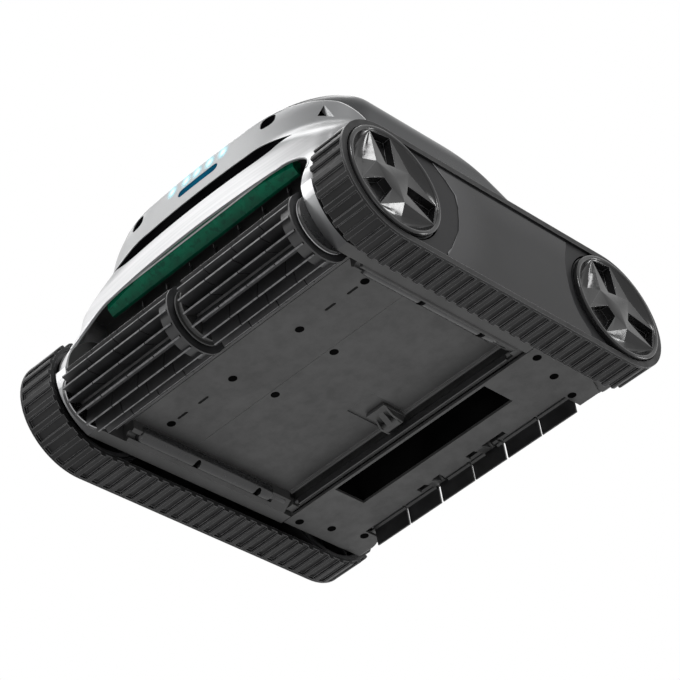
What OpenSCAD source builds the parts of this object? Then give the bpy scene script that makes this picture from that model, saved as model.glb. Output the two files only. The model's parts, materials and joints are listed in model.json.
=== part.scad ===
// Tracked cordless pool cleaner, modelled as an assembly.
// Frame: -Y is the front (brush and light bar), +X is the cleaner's left, +Z is up,
// z = 0 is the floor under the tread lugs and y = 0 is midway between the wheel axles.

/* [Tracks] */
// Distance between the front and rear wheel axles
wheelbase = 294.4; // [280:1:310]
// Radius from a wheel axle to the tips of the tread lugs
tread_r = 62.2; // [60:0.2:64]
// Height of a tread lug
lug_h = 3; // [2:0.1:3.6]
// Width of a tread lug along the belt
lug_w = 6.2; // [5:0.1:7.5]
// Number of lugs round a belt
lug_count = 69; // [60:1:74]
// Thickness of the belt under its lugs
belt_t = 3.2; // [2.4:0.1:3.4]
// Width of a belt
belt_w = 38; // [34:0.5:42]
// Overall width across both belts
track_width = 409.8; // [400:0.2:420]
// Width of the plain rim along the belt's outer edge
belt_rim = 2.4; // [1.5:0.1:4]

/* [Wheels] */
// Running gap between a wheel drum and its belt
drum_gap = 0.3; // [0.2:0.05:0.5]
// Thickness of the wheel rim
rim_t = 3.6; // [3:0.1:5]
// Radius of an axle
axle_r = 6; // [5:0.1:7]
// Radial running clearance of every shaft in its bore
run_gap = 0.05; // [0.03:0.01:0.08]
// How far the hub cap stands out beyond the belt
cap_proud = 3.6; // [2:0.1:5]
// Radius of the thin ring round the hub cap
cap_ring_r = 55.1; // [54:0.1:55.4]
// Depth of the dish in the hub cap
cap_dish = 9; // [6:0.5:10]
// Number of spokes in a hub cap
cap_spokes = 3; // [3:1:3]

/* [Side frames] */
// Gap between the side frame and the belt
side_gap = 4.3; // [3:0.1:6]
// Thickness of a side frame
side_t = 12.6; // [12:0.1:14]
// Radius of the side frame round the wheel axles
side_r = 56.6; // [56:0.1:57]
// Height of the side frame's lower edge
sill_z = 11.4; // [10:0.2:13]
// Skin of the side frame
side_skin = 3; // [2.4:0.1:3.2]
// Depth of the glossy side panel from the belt's outer edge
panel_inset = 1.9; // [1:0.1:3]

/* [Brush] */
// Brush axis forward of the front axle
brush_fwd = 34.8; // [34:0.2:36]
// Height of the brush axis
brush_z = 36; // [35.6:0.2:37]
// Radius over the brush blades
brush_r = 35; // [33:0.5:35]
// Radius of the brush core
core_r = 17; // [15:0.5:19]
// Number of blades round a roller
blade_count = 16; // [12:1:18]
// Thickness of a blade at its tip
blade_t = 1.6; // [1.2:0.1:2]
// Number of segments along a blade
blade_segs = 4; // [3:1:5]
// Slit between two blade segments
blade_slit = 1; // [0.6:0.1:1.4]
// Radius of the brush shaft
shaft_r = 5; // [4.5:0.1:5.4]
// Width of the bearing between the rollers
bearing_w = 8; // [7:0.5:9]
// Radius of the guard discs at the bearings
guard_r = 28.6; // [26:0.2:30]
// Teeth on the wheel gear
gear_teeth = 48; // [48:1:48]
// Teeth on the brush pinion
pinion_teeth = 12; // [12:1:12]
// Thickness of the gears
gear_t = 5; // [4:0.2:5.4]

/* [Belly] */
// Height of the recessed front plates
belly_z = 28; // [27:0.2:29]
// Height of the rear plate
rear_z = 11.3; // [11.3:0.1:12]
// Thickness of the belly plates
plate_t = 3; // [2.6:0.1:3.2]
// Seam between the front and the centre plate
seam_y = -63; // [-66:0.5:-60]
// Rear edge of the centre plate
step_y = 60; // [58:0.5:61]
// Front edge of the rear plate
rear_plate_y = 72; // [71:0.2:73]
// Width of the suction mouth
mouth_w = 190.4; // [180:0.4:196]
// Front edge of the suction mouth
mouth_y0 = 75.1; // [75:0.1:78]
// Rear edge of the suction mouth
mouth_y1 = 114; // [108:0.5:118]
// Rear edge of the rear plate between its ears
flap_edge_y = 149; // [147:0.5:150]
// Width over the rear flap
flap_w = 253; // [240:1:256]
// Plane of the rear flap
flap_y = 165.6; // [165:0.2:167]
// Gap under the rear flap
flap_clear = 1; // [0.8:0.1:2]
// Thickness of the flap rubber
flap_t = 1.8; // [1.4:0.1:2.4]
// Screw hole radius in the belly plates
screw_r = 1.7; // [1.5:0.1:2]

/* [Upper body] */
// Thickness of the upper shells
shell_t = 2.8; // [2.4:0.1:3]
// Height where the upper shells meet the deck
deck_z = 119.2; // [119:0.1:120]
// Position of the seam between the front fascia and the top cover
face_seam_y = -118; // [-122:1:-114]
// Width of the front arch opening
arch_w = 300; // [296:1:302]
// Height of the top of the arch opening
arch_z = 130; // [127:0.5:132]
// Corner radius of the arch opening
arch_r = 38; // [32:1:42]
// Width of the dark slit in the fascia
slit_w = 236; // [220:1:240]
// Lower edge of the slit at its middle
slit_z0 = 163.5; // [162:0.5:166]
// Upper edge of the slit at its middle
slit_z1 = 183; // [180:0.5:186]
// Height of the slit's tips
slit_tip_z = 171; // [169:0.5:174]
// Width of the light bar
light_w = 51; // [44:1:60]
// Height of the light bar's middle
light_z = 203; // [201:0.5:205]

/* [Lid and filter] */
// Width of the lid
lid_w = 210; // [200:2:220]
// Front edge of the lid
lid_y0 = -106; // [-108:1:-104]
// Rear edge of the lid
lid_y1 = 44; // [40:1:46]
// Gap round the lid and the other moving covers
part_gap = 0.5; // [0.4:0.05:0.8]
// Width of the filter basket
basket_w = 184; // [170:2:188]
// Wall of the filter basket
basket_t = 2.2; // [1.8:0.1:2.6]
// Depth of the screen panels in the basket's walls
screen_in = 1.2; // [0.8:0.1:1.4]
// Radius of the bail wire
bail_r = 2.5; // [2:0.1:3]

/* [Hidden] */
$fn = 64;
eps = 0.01;
seat = 0.3;                    // gap left between pieces that must not touch

wheel_y = wheelbase / 2;
wheel_z = tread_r;
belt_out = track_width / 2;
belt_in = belt_out - belt_w;
belt_ro = tread_r - lug_h;
belt_ri = belt_ro - belt_t;
drum_r = belt_ri - drum_gap;
side_out = belt_in - side_gap;
side_in = side_out - side_t;
panel_x = belt_out - panel_inset;
hub_x = belt_out + cap_proud;
hub_in = belt_in + 2;          // inner end of a wheel hub
web_x = belt_out - 16;         // inner face of a wheel web
web_t = 3;
sleeve_r = axle_r + 5;         // sleeve that carries the wheel gear
pocket_x = side_in + side_skin;
cover_t = 1.4;                 // gear cover
gear_x = pocket_x + 1;
gear_dist = sqrt(pow(brush_fwd, 2) + pow(wheel_z - brush_z, 2));
gear_mod = 2 * gear_dist / (gear_teeth + pinion_teeth);
gear_tip = gear_teeth * gear_mod / 2 + 0.85 * gear_mod;
pinion_tip = pinion_teeth * gear_mod / 2 + 0.85 * gear_mod;
gear_dir = atan2(brush_z - wheel_z, -brush_fwd);   // from the wheel axle to the brush axis
brush_y = -wheel_y - brush_fwd;
pillar_in = side_r - 3.4;      // inner radius of the fascia pillars
wall_t = 2.8;
wall_out = side_in;
wall_in = side_in - wall_t;
cavity_r = brush_r + 6;        // cavity round the brush
cavity_y = brush_y + 33.6;     // upright back wall of the cavity
rail_in = side_in - 13;        // inner face of the belly rails
plate_top = belly_z + plate_t;
rear_top = rear_z + plate_t;
rear_wall_y = 176;             // foot of the sloping rear wall
deck_t = 2.8;
deck_rear_y = 209;

// Rounded form of the upper body
body_w = side_out;             // half width at the deck
body_top = 235;
body_crown_y = -40;            // highest point of the crown
body_rear_y = deck_rear_y + 8;
body_rear_z = deck_z + 2.6;
body_front_y = -204;           // front face at body_front_z
body_front_z = 67;
body_rake = 0.318;
body_bow = 0.00047;
body_roll_z = 210;             // where the front face starts to roll over
body_edge_r = 31;
body_base_z = 60;

belt_len = 2 * wheelbase + 2 * PI * belt_ro;
lug_first = wheel_y - 137.1;   // first lug behind the front axle on the lower run
duct_x = mouth_w / 2 + 1;
duct_t = 2;
duct_top = 112;
bay_x = basket_w / 2 + 3;
bay_t = 2.2;
box_top = 88;                  // top of the power box
bay_z = box_top + bay_t;
bay_y0 = lid_y0 + 3;
bay_y1 = lid_y1 - 3;
basket_y0 = bay_y0 + 4;
basket_y1 = bay_y1 - 8;
basket_z0 = bay_z + 3;
basket_z1 = 196;
pump_y = 105;                  // centre of the outlet on the rear slope
grille_r = 38;
box_x = 100;                   // power box
box_y0 = -130;
box_y1 = 55;
motor_r = 24;
lip_y = rear_plate_y - 5.4;
lip_z = 19;
flap_rod_y = flap_y - 7.6;
flap_rod_z = 22;
flap_rod_r = 2;
hinge_y = lid_y1 + 3.4;
hinge_r = 3;
pin_r = 1.6;
button_y = -124;
button_r = 9;
port_x = lid_w / 2 + 16;       // charging port
port_y = -57;

front_screws = [for (s = [-1, 1]) each [[s * 42.4, -105.3], [s * (side_in - 27.4), -105.3]]];
centre_screws = [for (s = [-1, 1]) [s * 37.4, seam_y + 6]];
rear_screws = [for (s = [-1, 1]) each [[s * (side_in + 1.3), 84.2],
    [s * (side_in - 8), 118.2], [s * (side_in - 17.2), 153.6]]];

// ---------- helpers ----------
module x_prism(x0, x1) {
    translate([x0, 0, 0]) rotate([90, 0, 90]) linear_extrude(x1 - x0) children();
}

module y_prism(y0, y1) {
    translate([0, y1, 0]) rotate([90, 0, 0]) linear_extrude(y1 - y0) children();
}

module x_rod(x0, x1, r, y, z) {
    translate([x0, y, z]) rotate([0, 90, 0]) cylinder(h = x1 - x0, r = r);
}

module box(x0, x1, y0, y1, z0, z1) {
    translate([x0, y0, z0]) cube([x1 - x0, y1 - y0, z1 - z0]);
}

// Profile of radius against x, turned round an axle along x
module x_lathe(y, z) {
    translate([0, y, z]) rotate([0, 90, 0]) rotate_extrude() children();
}

module both_sides() {
    children();
    mirror([1, 0, 0]) children();
}

// Outline of a belt run of the given radius, in y and z
module stadium2d(r) {
    translate([-wheel_y, wheel_z]) circle(r);
    translate([wheel_y, wheel_z]) circle(r);
    translate([-wheel_y, wheel_z - r]) square([wheelbase, 2 * r]);
}

function smooth(t) = let (u = min(max(t, 0), 1)) u * u * (3 - 2 * u);
function mix(a, b, t) = a + (b - a) * t;

// Point and outward turn on the belt at a run length from the foot of the front wheel
function belt_at(s) =
    let (u = s % belt_len, wrap = PI * belt_ro)
    u < wheelbase ? [u - wheel_y, wheel_z - belt_ro, 0]
    : u < wheelbase + wrap ?
        let (a = (u - wheelbase) / belt_ro * 180 / PI)
        [wheel_y + belt_ro * sin(a), wheel_z - belt_ro * cos(a), a]
    : u < 2 * wheelbase + wrap ? [wheel_y - (u - wheelbase - wrap), wheel_z + belt_ro, 180]
    : let (a = 180 + (u - 2 * wheelbase - wrap) / belt_ro * 180 / PI)
        [belt_ro * sin(a) - wheel_y, wheel_z - belt_ro * cos(a), a];

// Involute spur gear outline with the middle of a tooth on the +x axis
function involute(rb, r) = let (t = sqrt(pow(r / rb, 2) - 1)) t * 180 / PI - atan(t);
function gear_points(teeth, mod, thin) =
    let (rp = teeth * mod / 2, rb = rp * cos(25), ra = rp + 0.85 * mod, rf = rp - 1.1 * mod,
        half = 90 / teeth - thin / rp * 90 / PI + involute(rb, rp), r0 = max(rb, rf),
        steps = 4)
    [for (k = [0 : teeth - 1], side = [-1, 1], j = [0 : steps + 1])
        let (n = side < 0 ? j : steps + 1 - j,
            r = n == 0 ? rf : r0 + (ra - r0) * (n - 1) / steps,
            a = k * 360 / teeth + side * (half - (n == 0 ? 0 : involute(rb, max(r, rb)))))
        [r * cos(a), r * sin(a)]];

// ---------- upper body form ----------
function front_y(z) =
    z <= body_roll_z ? body_front_y + (z - body_front_z) * body_rake
    : let (yr = body_front_y + (body_roll_z - body_front_z) * body_rake,
        t = min((z - body_roll_z) / (body_top - body_roll_z), 1))
        body_crown_y - (body_crown_y - yr) * pow(1 - pow(t, 2.5), 0.4);
body_fall = (body_top - body_rear_z) / pow(body_rear_y - body_crown_y, 2);
function rear_y(z) =
    z <= body_rear_z ? body_rear_y : body_crown_y + sqrt(max(body_top - z, 0) / body_fall);
function crown_z(y) = body_top - body_fall * pow(y - body_crown_y, 2);
function half_w(z) =
    let (lean = body_w - 2 * smooth((z - 150) / 60), zc = body_top - body_edge_r)
    z < zc ? lean : lean - body_edge_r + sqrt(max(pow(body_edge_r, 2) - pow(z - zc, 2), 0));
function bow(z) = body_bow * (0.06 + 0.94 * smooth((z - body_front_z - 8) / 55));
function corner_r(z) = mix(8, 20, smooth((z - body_front_z) / 55)) + 77 * smooth((z - 140) / 45);

// Half outline at one height, from the front middle round the +x side to the rear middle
function body_half(z, inset) =
    let (w = half_w(z) - inset, f = front_y(z) + inset, b = rear_y(z) - inset, d = b - f,
        c = min(corner_r(z), w * 0.9), cy = min(c * 0.62, d * 0.46),
        cr = min(45, d * 0.46, w * 0.46), yc = f + bow(z) * pow(w - c, 2) + cy)
    concat(
        [for (k = [0 : 4]) let (x = (w - c) * k / 4) [x, f + bow(z) * x * x]],
        [for (k = [1 : 6]) [w - c + c * sin(k * 15), yc - cy * cos(k * 15)]],
        [for (k = [1 : 3]) [w, mix(yc, max(b - cr, yc + 1), k / 3)]],
        [for (k = [1 : 4]) [w - cr + cr * cos(k * 22.5), max(b - cr, yc + 1) + cr * sin(k * 22.5)]],
        [[0, max(b - cr, yc + 1) + cr]]);
function body_ring(z, inset) =
    let (h = body_half(z, inset), n = len(h))
    concat(h, [for (k = [n - 2 : -1 : 1]) [-h[k][0], h[k][1]]]);
body_levels = [body_base_z, 94, deck_z - 2, body_rear_z, 140, 155, 170, 185, 198, 208, 214, 219, 223.5,
    227.5, 230.5, 232.8, 234.3, 234.95];

// Closed body, drawn in by inset from the outer skin, between two of its levels
module body_form(inset, low, high) {
    levels = [for (z = body_levels) if (z >= low && z <= high) z];
    n = len(body_ring(100, 0));
    m = len(levels);
    points = [for (z = levels)
        let (lift = smooth((z - 196) / 34))
        for (p = body_ring(z, inset * (1 - 0.7 * lift))) [p[0], p[1], z - inset * lift]];
    sides = [for (k = [0 : m - 2], j = [0 : n - 1])
        [k * n + j, (k + 1) * n + j, (k + 1) * n + (j + 1) % n, k * n + (j + 1) % n]];
    foot = [for (j = [0 : n - 1]) j];
    head = [for (j = [n - 1 : -1 : 0]) (m - 1) * n + j];
    polyhedron(points, concat([foot], sides, [head]), 8);
}

// Skin between two insets, between two levels
module body_skin(outer, inner, low = 0, high = 300) {
    difference() {
        body_form(outer, low, high);
        body_form(inner, low, high);
    }
}

// Side view of what belongs to the fascia, in y and z
module fascia_side2d(gap) {
    g = gap;
    polygon([[-240, body_front_z], [-240, 260], [face_seam_y - 77 - g, 260],
        [face_seam_y - 8 - g, 208], [face_seam_y + 14 - g, 180], [face_seam_y + 26 - g, 150],
        [face_seam_y + 30 - g, deck_z], [-wheel_y, deck_z], [-wheel_y, body_front_z]]);
}

// Side view of what belongs to the top cover
module cover_side2d(gap) {
    g = gap;
    polygon([[300, deck_z], [300, 260], [face_seam_y - 77 + g, 260], [face_seam_y - 8 + g, 208],
        [face_seam_y + 14 + g, 180], [face_seam_y + 26 + g, 150], [face_seam_y + 30 + g, deck_z]]);
}

module arch2d() {
    translate([-arch_w / 2, 40]) square([arch_w, arch_z - arch_r - 40]);
    for (s = [-1, 1]) translate([s * (arch_w / 2 - arch_r), arch_z - arch_r]) circle(arch_r);
    translate([arch_r - arch_w / 2, 60]) square([arch_w - 2 * arch_r, arch_z - 60]);
}

// Slit of the fascia, grown by a margin, in x and z
module slit2d(grow) {
    flat = 72;
    top = [for (k = [-12 : 12])
        let (x = k / 12 * (slit_w / 2 + grow), u = max(abs(x) - flat, 0) / (slit_w / 2 + grow - flat))
        [x, mix(slit_z1 + grow, slit_tip_z + 0.2, pow(u, 1.6))]];
    low = [for (k = [12 : -1 : -12])
        let (x = k / 12 * (slit_w / 2 + grow), u = max(abs(x) - flat, 0) / (slit_w / 2 + grow - flat))
        [x, mix(slit_z0 - grow, slit_tip_z - 0.2, pow(u, 2.2))]];
    polygon(concat(top, low));
}

module light2d(grow) {
    r = 2.1 + grow;
    for (s = [-1, 1]) translate([s * (light_w / 2 - 2.1), light_z]) circle(r);
    translate([2.1 - light_w / 2, light_z - r]) square([light_w - 4.2, 2 * r]);
}

module sensors2d(r) {
    for (s = [-1, 1]) translate([s * 86, 214]) circle(r);
}

// ---------- belts and wheels ----------
module track() {
    pitch = belt_len / lug_count;
    bevel = 0.9;
    difference() {
        x_prism(belt_in, belt_out) stadium2d(belt_ro);
        x_prism(belt_in - 1, belt_out + 1) stadium2d(belt_ri);
    }
    difference() {
        x_prism(belt_out - belt_rim, belt_out) stadium2d(tread_r);
        x_prism(belt_out - belt_rim - 1, belt_out + 1) stadium2d(belt_ro);
    }
    x_prism(belt_in, belt_out - belt_rim) for (k = [0 : lug_count - 1]) {
        at = belt_at(lug_first + k * pitch);
        translate([at[0], at[1]]) rotate(at[2]) polygon([[-lug_w / 2, 0.6], [-lug_w / 2, bevel - lug_h],
            [bevel - lug_w / 2, -lug_h], [lug_w / 2 - bevel, -lug_h], [lug_w / 2, bevel - lug_h],
            [lug_w / 2, 0.6]]);
    }
}
module track_left() { color("#26282b") track(); }
module track_right() { color("#26282b") mirror([1, 0, 0]) track(); }

// Drum with web, hub and six ribs; bore is the radius of its hole
module wheel(y, bore, hub_r) {
    x_lathe(y, wheel_z) {
        translate([drum_r - rim_t, belt_in + 1]) square([rim_t, belt_w - 4]);
        translate([bore, web_x]) square([drum_r - rim_t / 2 - bore, web_t]);
        translate([bore, hub_in]) square([hub_r - bore, web_x + web_t + 2 - hub_in]);
    }
    for (k = [0 : 5]) translate([0, y, wheel_z]) rotate([k * 60 + 30, 0, 0])
        box(belt_in + 6, web_x + 1, -1.2, 1.2, hub_r - 0.5, drum_r - rim_t / 2);
}
module front_wheel() {
    wheel(-wheel_y, axle_r + run_gap, sleeve_r);
    x_lathe(-wheel_y, wheel_z) translate([axle_r + run_gap, gear_x - 0.5])
        square([sleeve_r - axle_r - run_gap, hub_in + 1 - gear_x]);
}
module wheel_front_left() { color("#1d1f21") front_wheel(); }
module wheel_front_right() { color("#1d1f21") mirror([1, 0, 0]) front_wheel(); }
module wheel_rear_left() { color("#1d1f21") wheel(wheel_y, axle_r, sleeve_r); }
module wheel_rear_right() { color("#1d1f21") mirror([1, 0, 0]) wheel(wheel_y, axle_r, sleeve_r); }

// Dished cap with a raised ring, a domed boss and ridged spokes
module hub_cap(y) {
    back = web_x + web_t + 2.2;
    difference() {
        x_lathe(y, wheel_z) {
            polygon([[0, back], [drum_r - rim_t - 0.6, back], [drum_r - rim_t - 0.6, belt_out - 2.5],
                [cap_ring_r, belt_out - 2.5], [cap_ring_r, hub_x - 0.8],
                [cap_ring_r - 0.8, hub_x], [cap_ring_r - 3.2, hub_x], [cap_ring_r - 4.6, hub_x - 1.6],
                [24, hub_x - cap_dish + 2], [0, hub_x - cap_dish + 2]]);
        }
        x_lathe(y, wheel_z) translate([0, back - 1]) square([sleeve_r + 2, 6.5]);
        for (k = [0 : cap_spokes - 1]) translate([0, y, wheel_z]) rotate([k * 360 / cap_spokes + 18, 0, 0])
            x_prism(hub_x - cap_dish - 1.2, hub_x + 1)
                polygon([[-15, 30], [0, 18], [15, 30], [0, 46]]);
    }
    x_lathe(y, wheel_z) {
        polygon([[0, back + 6], [13, back + 6], [13, hub_x - 4], [9, hub_x - 1.4], [4, hub_x - 0.5],
            [0, hub_x - 0.4]]);
        translate([16, web_x + web_t]) square([4, back + 1 - web_x - web_t]);
    }
    for (k = [0 : cap_spokes - 1]) translate([0, y, wheel_z])
        rotate([k * 360 / cap_spokes + 78, 0, 0]) spoke(hub_x - cap_dish + 1, hub_x - 1.4);
}
// Faceted arm that narrows from the rim to the boss, with its ridge along the middle
module spoke(base, ridge) {
    r0 = 8;
    r1 = cap_ring_r - 5.3;
    intersection() {
        x_prism(base, ridge + 1) polygon([[-6, r0], [6, r0], [13, r1], [-13, r1]]);
        translate([0, 0, r0]) linear_extrude(r1 - r0)
            polygon([[base - 4, -20], [base, -20], [ridge, 0], [base, 20], [base - 4, 20]]);
    }
}
module hub_cap_front_left() { color("#2b2e31") hub_cap(-wheel_y); }
module hub_cap_front_right() { color("#2b2e31") mirror([1, 0, 0]) hub_cap(-wheel_y); }
module hub_cap_rear_left() { color("#2b2e31") hub_cap(wheel_y); }
module hub_cap_rear_right() { color("#2b2e31") mirror([1, 0, 0]) hub_cap(wheel_y); }

// Fixed stub axle with its foot inside the frame and a retaining head
module front_axle() {
    hub_end = web_x + web_t + 2;
    x_lathe(-wheel_y, wheel_z) {
        translate([0, side_in]) square([axle_r, hub_end + 1 - side_in]);
        translate([0, hub_end + 0.3]) square([axle_r + 2, 1.5]);
    }
}
module front_axle_left() { color("silver") front_axle(); }
module front_axle_right() { color("silver") mirror([1, 0, 0]) front_axle(); }

// Shaft from the gear motor to the rear wheel
module drive_shaft() {
    x_rod(side_in - 9, web_x + web_t + 2, axle_r, wheel_y, wheel_z);
}
module drive_shaft_left() { color("silver") drive_shaft(); }
module drive_shaft_right() { color("silver") mirror([1, 0, 0]) drive_shaft(); }

module wheel_gear() {
    difference() {
        translate([0, -wheel_y, wheel_z]) rotate([gear_dir, 0, 0]) x_prism(gear_x, gear_x + gear_t)
            polygon(gear_points(gear_teeth, gear_mod, 0.15));
        x_rod(gear_x - 1, gear_x + gear_t + 1, sleeve_r, -wheel_y, wheel_z);
    }
}
module wheel_gear_left() { color("ivory") wheel_gear(); }
module wheel_gear_right() { color("ivory") mirror([1, 0, 0]) wheel_gear(); }

module brush_pinion() {
    difference() {
        translate([0, brush_y, brush_z]) rotate([gear_dir + 180 + 180 / pinion_teeth, 0, 0])
            x_prism(gear_x, gear_x + gear_t) polygon(gear_points(pinion_teeth, gear_mod, 0.15));
        x_rod(gear_x - 1, gear_x + gear_t + 1, shaft_r, brush_y, brush_z);
    }
}
module brush_pinion_left() { color("ivory") brush_pinion(); }
module brush_pinion_right() { color("ivory") mirror([1, 0, 0]) brush_pinion(); }

// ---------- brush ----------
brush_in = 6;                  // inner end of the left roller
brush_end = side_in - 6;       // outer end of the left roller
brush_cap = 13;                // plain end of a roller
module roller(x0, x1) {
    blade_x1 = x1 - 1.6;
    step = (blade_x1 - x0) / blade_segs;
    difference() {
        union() {
            x_rod(x0, x1, core_r, brush_y, brush_z);
            x_rod(x1 - brush_cap, x1, brush_r - 3, brush_y, brush_z);
            x_rod(blade_x1, x1, brush_r - 0.4, brush_y, brush_z);
            for (k = [0 : blade_segs - 1])
                translate([0, brush_y, brush_z]) x_prism(x0 + k * step, x0 + (k + 1) * step - blade_slit)
                    for (j = [0 : blade_count - 1]) rotate(163.8 + j * 360 / blade_count)
                        polygon([[core_r - 1, -2.3], [brush_r, -blade_t / 2], [brush_r, blade_t / 2],
                            [core_r - 1, 2.3]]);
        }
        x_rod(x0 - 1, x1 + 1, shaft_r, brush_y, brush_z);
    }
}
module brush_left() { color("#3a3c3e") roller(brush_in, brush_end); }
module brush_right() { color("#3a3c3e") roller(0.5 - brush_end, -brush_in - 1); }
module brush_shaft_left() { color("silver") x_rod(0.5, gear_x + gear_t + 1.2, shaft_r, brush_y, brush_z); }
module brush_shaft_right() { color("silver") mirror([1, 0, 0]) brush_shaft_left(); }

// Hanger between the rollers, from the back wall of the cavity
module brush_bearing() {
    color("#1b1c1e") difference() {
        union() {
            x_rod(-bearing_w / 2, bearing_w / 2, guard_r - 4, brush_y, brush_z);
            for (s = [-1, 1]) x_rod(s * (bearing_w / 2 - 0.6) - 0.6, s * (bearing_w / 2 - 0.6) + 0.6, guard_r, brush_y, brush_z);
            x_prism(-bearing_w / 2, bearing_w / 2) difference() {
                polygon([[brush_y, brush_z + 8], [brush_y + 14, brush_z - 8], [brush_y + cavity_r + 1, brush_z - 3],
                    [brush_y + cavity_r + 1, brush_z + 28], [brush_y + 4, brush_z + guard_r - 1]]);
                difference() {
                    translate([brush_y, brush_z]) circle(90);
                    translate([brush_y, brush_z]) circle(cavity_r);
                }
            }
        }
        x_rod(-bearing_w, bearing_w, shaft_r + run_gap, brush_y, brush_z);
    }
}

// Round guards at the outer ends of the rollers, on the side frames
module brush_guards() {
    color("#8d9092") both_sides() difference() {
        x_rod(side_in - 4, side_in, guard_r, brush_y, brush_z);
        x_rod(side_in - 5, side_in + 1, shaft_r + 0.6, brush_y, brush_z);
        x_rod(side_in - 5, side_in - 2.5, guard_r - 2, brush_y, brush_z);
    }
}

// ---------- side frames ----------
module side_outline2d() {
    lobe = pinion_tip + 2.2;
    difference() {
        union() {
            difference() {
                stadium2d(side_r);
                translate([-400, brush_z + 14]) square([400 - wheel_y, 200]);
            }
            intersection() {
                stadium2d(side_r);
                union() {
                    stadium2d(pillar_in);
                    translate([-wheel_y, 0]) square([400, 200]);
                }
            }
        }
        translate([-300, -10]) square([600, sill_z + 10]);
        translate([rear_plate_y - 1, -10]) square([300, rear_top + 0.1 + 10]);
    }
}
module pocket2d(grow) {
    translate([-wheel_y, wheel_z]) circle(gear_tip + 1.6 + grow);
    translate([brush_y, brush_z]) circle(pinion_tip + 0.6 + grow);
}
module side_frame() {
    difference() {
        x_prism(side_in, side_out) side_outline2d();
        x_prism(pocket_x, side_out + 1) pocket2d(0);
        x_prism(side_out - cover_t, side_out + 1) pocket2d(1.2);
        x_rod(side_in - 1, side_out + 1, axle_r, -wheel_y, wheel_z);
        x_rod(side_in - 1, side_out + 1, axle_r + run_gap, wheel_y, wheel_z);
        x_rod(side_in - 1, pocket_x + 1, shaft_r + run_gap, brush_y, brush_z);
        for (y = [-84, -30, 4, 56]) box(side_in + side_skin, side_out + 1, y, y + 26, 24, 100);
    }
}
module side_frame_left() { color("#2a2c2e") side_frame(); }
module side_frame_right() { color("#2a2c2e") mirror([1, 0, 0]) side_frame(); }

module gear_cover() {
    difference() {
        x_prism(side_out - cover_t, side_out) pocket2d(1.2);
        x_rod(side_in, side_out + 1, sleeve_r + 0.4, -wheel_y, wheel_z);
    }
}
module gear_cover_left() { color("#222426") gear_cover(); }
module gear_cover_right() { color("#222426") mirror([1, 0, 0]) gear_cover(); }

// Glossy cover between the wheels, with the plain bezels round them
module panel_outline2d(reach) {
    difference() {
        stadium2d(belt_ri - 0.6);
        for (s = [-1, 1]) translate([s * wheel_y, wheel_z]) circle(cap_ring_r + reach);
        translate([-400, 0]) square([400 - wheel_y, 200]);
        translate([wheel_y, 0]) square([400, 200]);
    }
}
module gloss2d() {
    front = [[-84, 130], [-84, 118], [-70, 105], [-60.5, 92.5], [-60, 78], [-63, 62.6], [-67, 48],
        [-75, 34], [-82, 22], [-89, 13.4], [-92, 0]];
    rear = [[101, 0], [98.4, 14.4], [88.8, 28], [84.5, 40], [82.7, 54], [83.4, 72], [86, 88],
        [90, 101], [94.5, 112.6], [96, 130]];
    polygon(concat(front, rear));
}
module side_panel() {
    difference() {
        x_prism(panel_x - 4, panel_x - 0.5) panel_outline2d(2.2);
        for (s = [-1, 1]) x_rod(panel_x - 2, panel_x + 1, 0.8, s * 30, -10);
    }
    x_prism(panel_x - 1, panel_x) intersection() {
        panel_outline2d(2.2);
        gloss2d();
    }
    x_prism(belt_in + 2, panel_x - 3) difference() {
        panel_outline2d(2.2);
        panel_outline2d(4.6);
        translate([-90, wheel_z - belt_ri + 3]) square([180, 2 * belt_ri - 6]);
    }
    for (s = [-1, 1]) x_rod(side_out, panel_x - 3, 8, s * 42, wheel_z);
}
module side_panel_left() { color("#111214") side_panel(); }
module side_panel_right() { color("#111214") mirror([1, 0, 0]) side_panel(); }

// ---------- chassis ----------
module cavity2d(r) {
    translate([brush_y, brush_z]) circle(r);
}
module chassis() {
    color("#303234") {
        both_sides() {
            x_prism(wall_in, wall_out) difference() {
                polygon([[brush_y + cavity_r, plate_top], [cavity_y + 0.2, 59.5], [cavity_y, deck_z],
                    [deck_rear_y, deck_z], [rear_wall_y, 32], [rear_wall_y, rear_top],
                    [rear_plate_y, rear_top], [rear_plate_y - 4, plate_top]]);
                translate([wheel_y, wheel_z]) circle(axle_r + 0.6);
            }
            rail();
            lip_socket();
        }
        x_prism(-wall_in, wall_in) {
            difference() {
                cavity2d(cavity_r + wall_t);
                cavity2d(cavity_r);
                translate([-400, -100]) square([400 + cavity_y, 400]);
                translate([-400, 0]) square([500, belly_z]);
                translate([-400, 59.5]) square([500, 100]);
            }
            translate([cavity_y, 58]) square([wall_t, arch_z + 9 - 58]);
            polygon([[rear_wall_y, 32], [rear_wall_y, rear_top + 14], [rear_wall_y - wall_t, rear_top + 14],
                [rear_wall_y - wall_t, 32.5], [deck_rear_y - wall_t, deck_z], [deck_rear_y, deck_z]]);
        }
        for (x = [0, 31.4, 62.6, 94.2]) for (s = x == 0 ? [1] : [-1, 1])
            x_prism(s * x - 1, s * x + 1) polygon([[cavity_y, 66], [cavity_y - 4, 74],
                [cavity_y - 4, 126], [cavity_y, 132]]);
        ceiling();
        deck();
        box(-wall_in, wall_in, rear_plate_y - 2, rear_plate_y, rear_top + 1.7, 60);
    }
}
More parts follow.
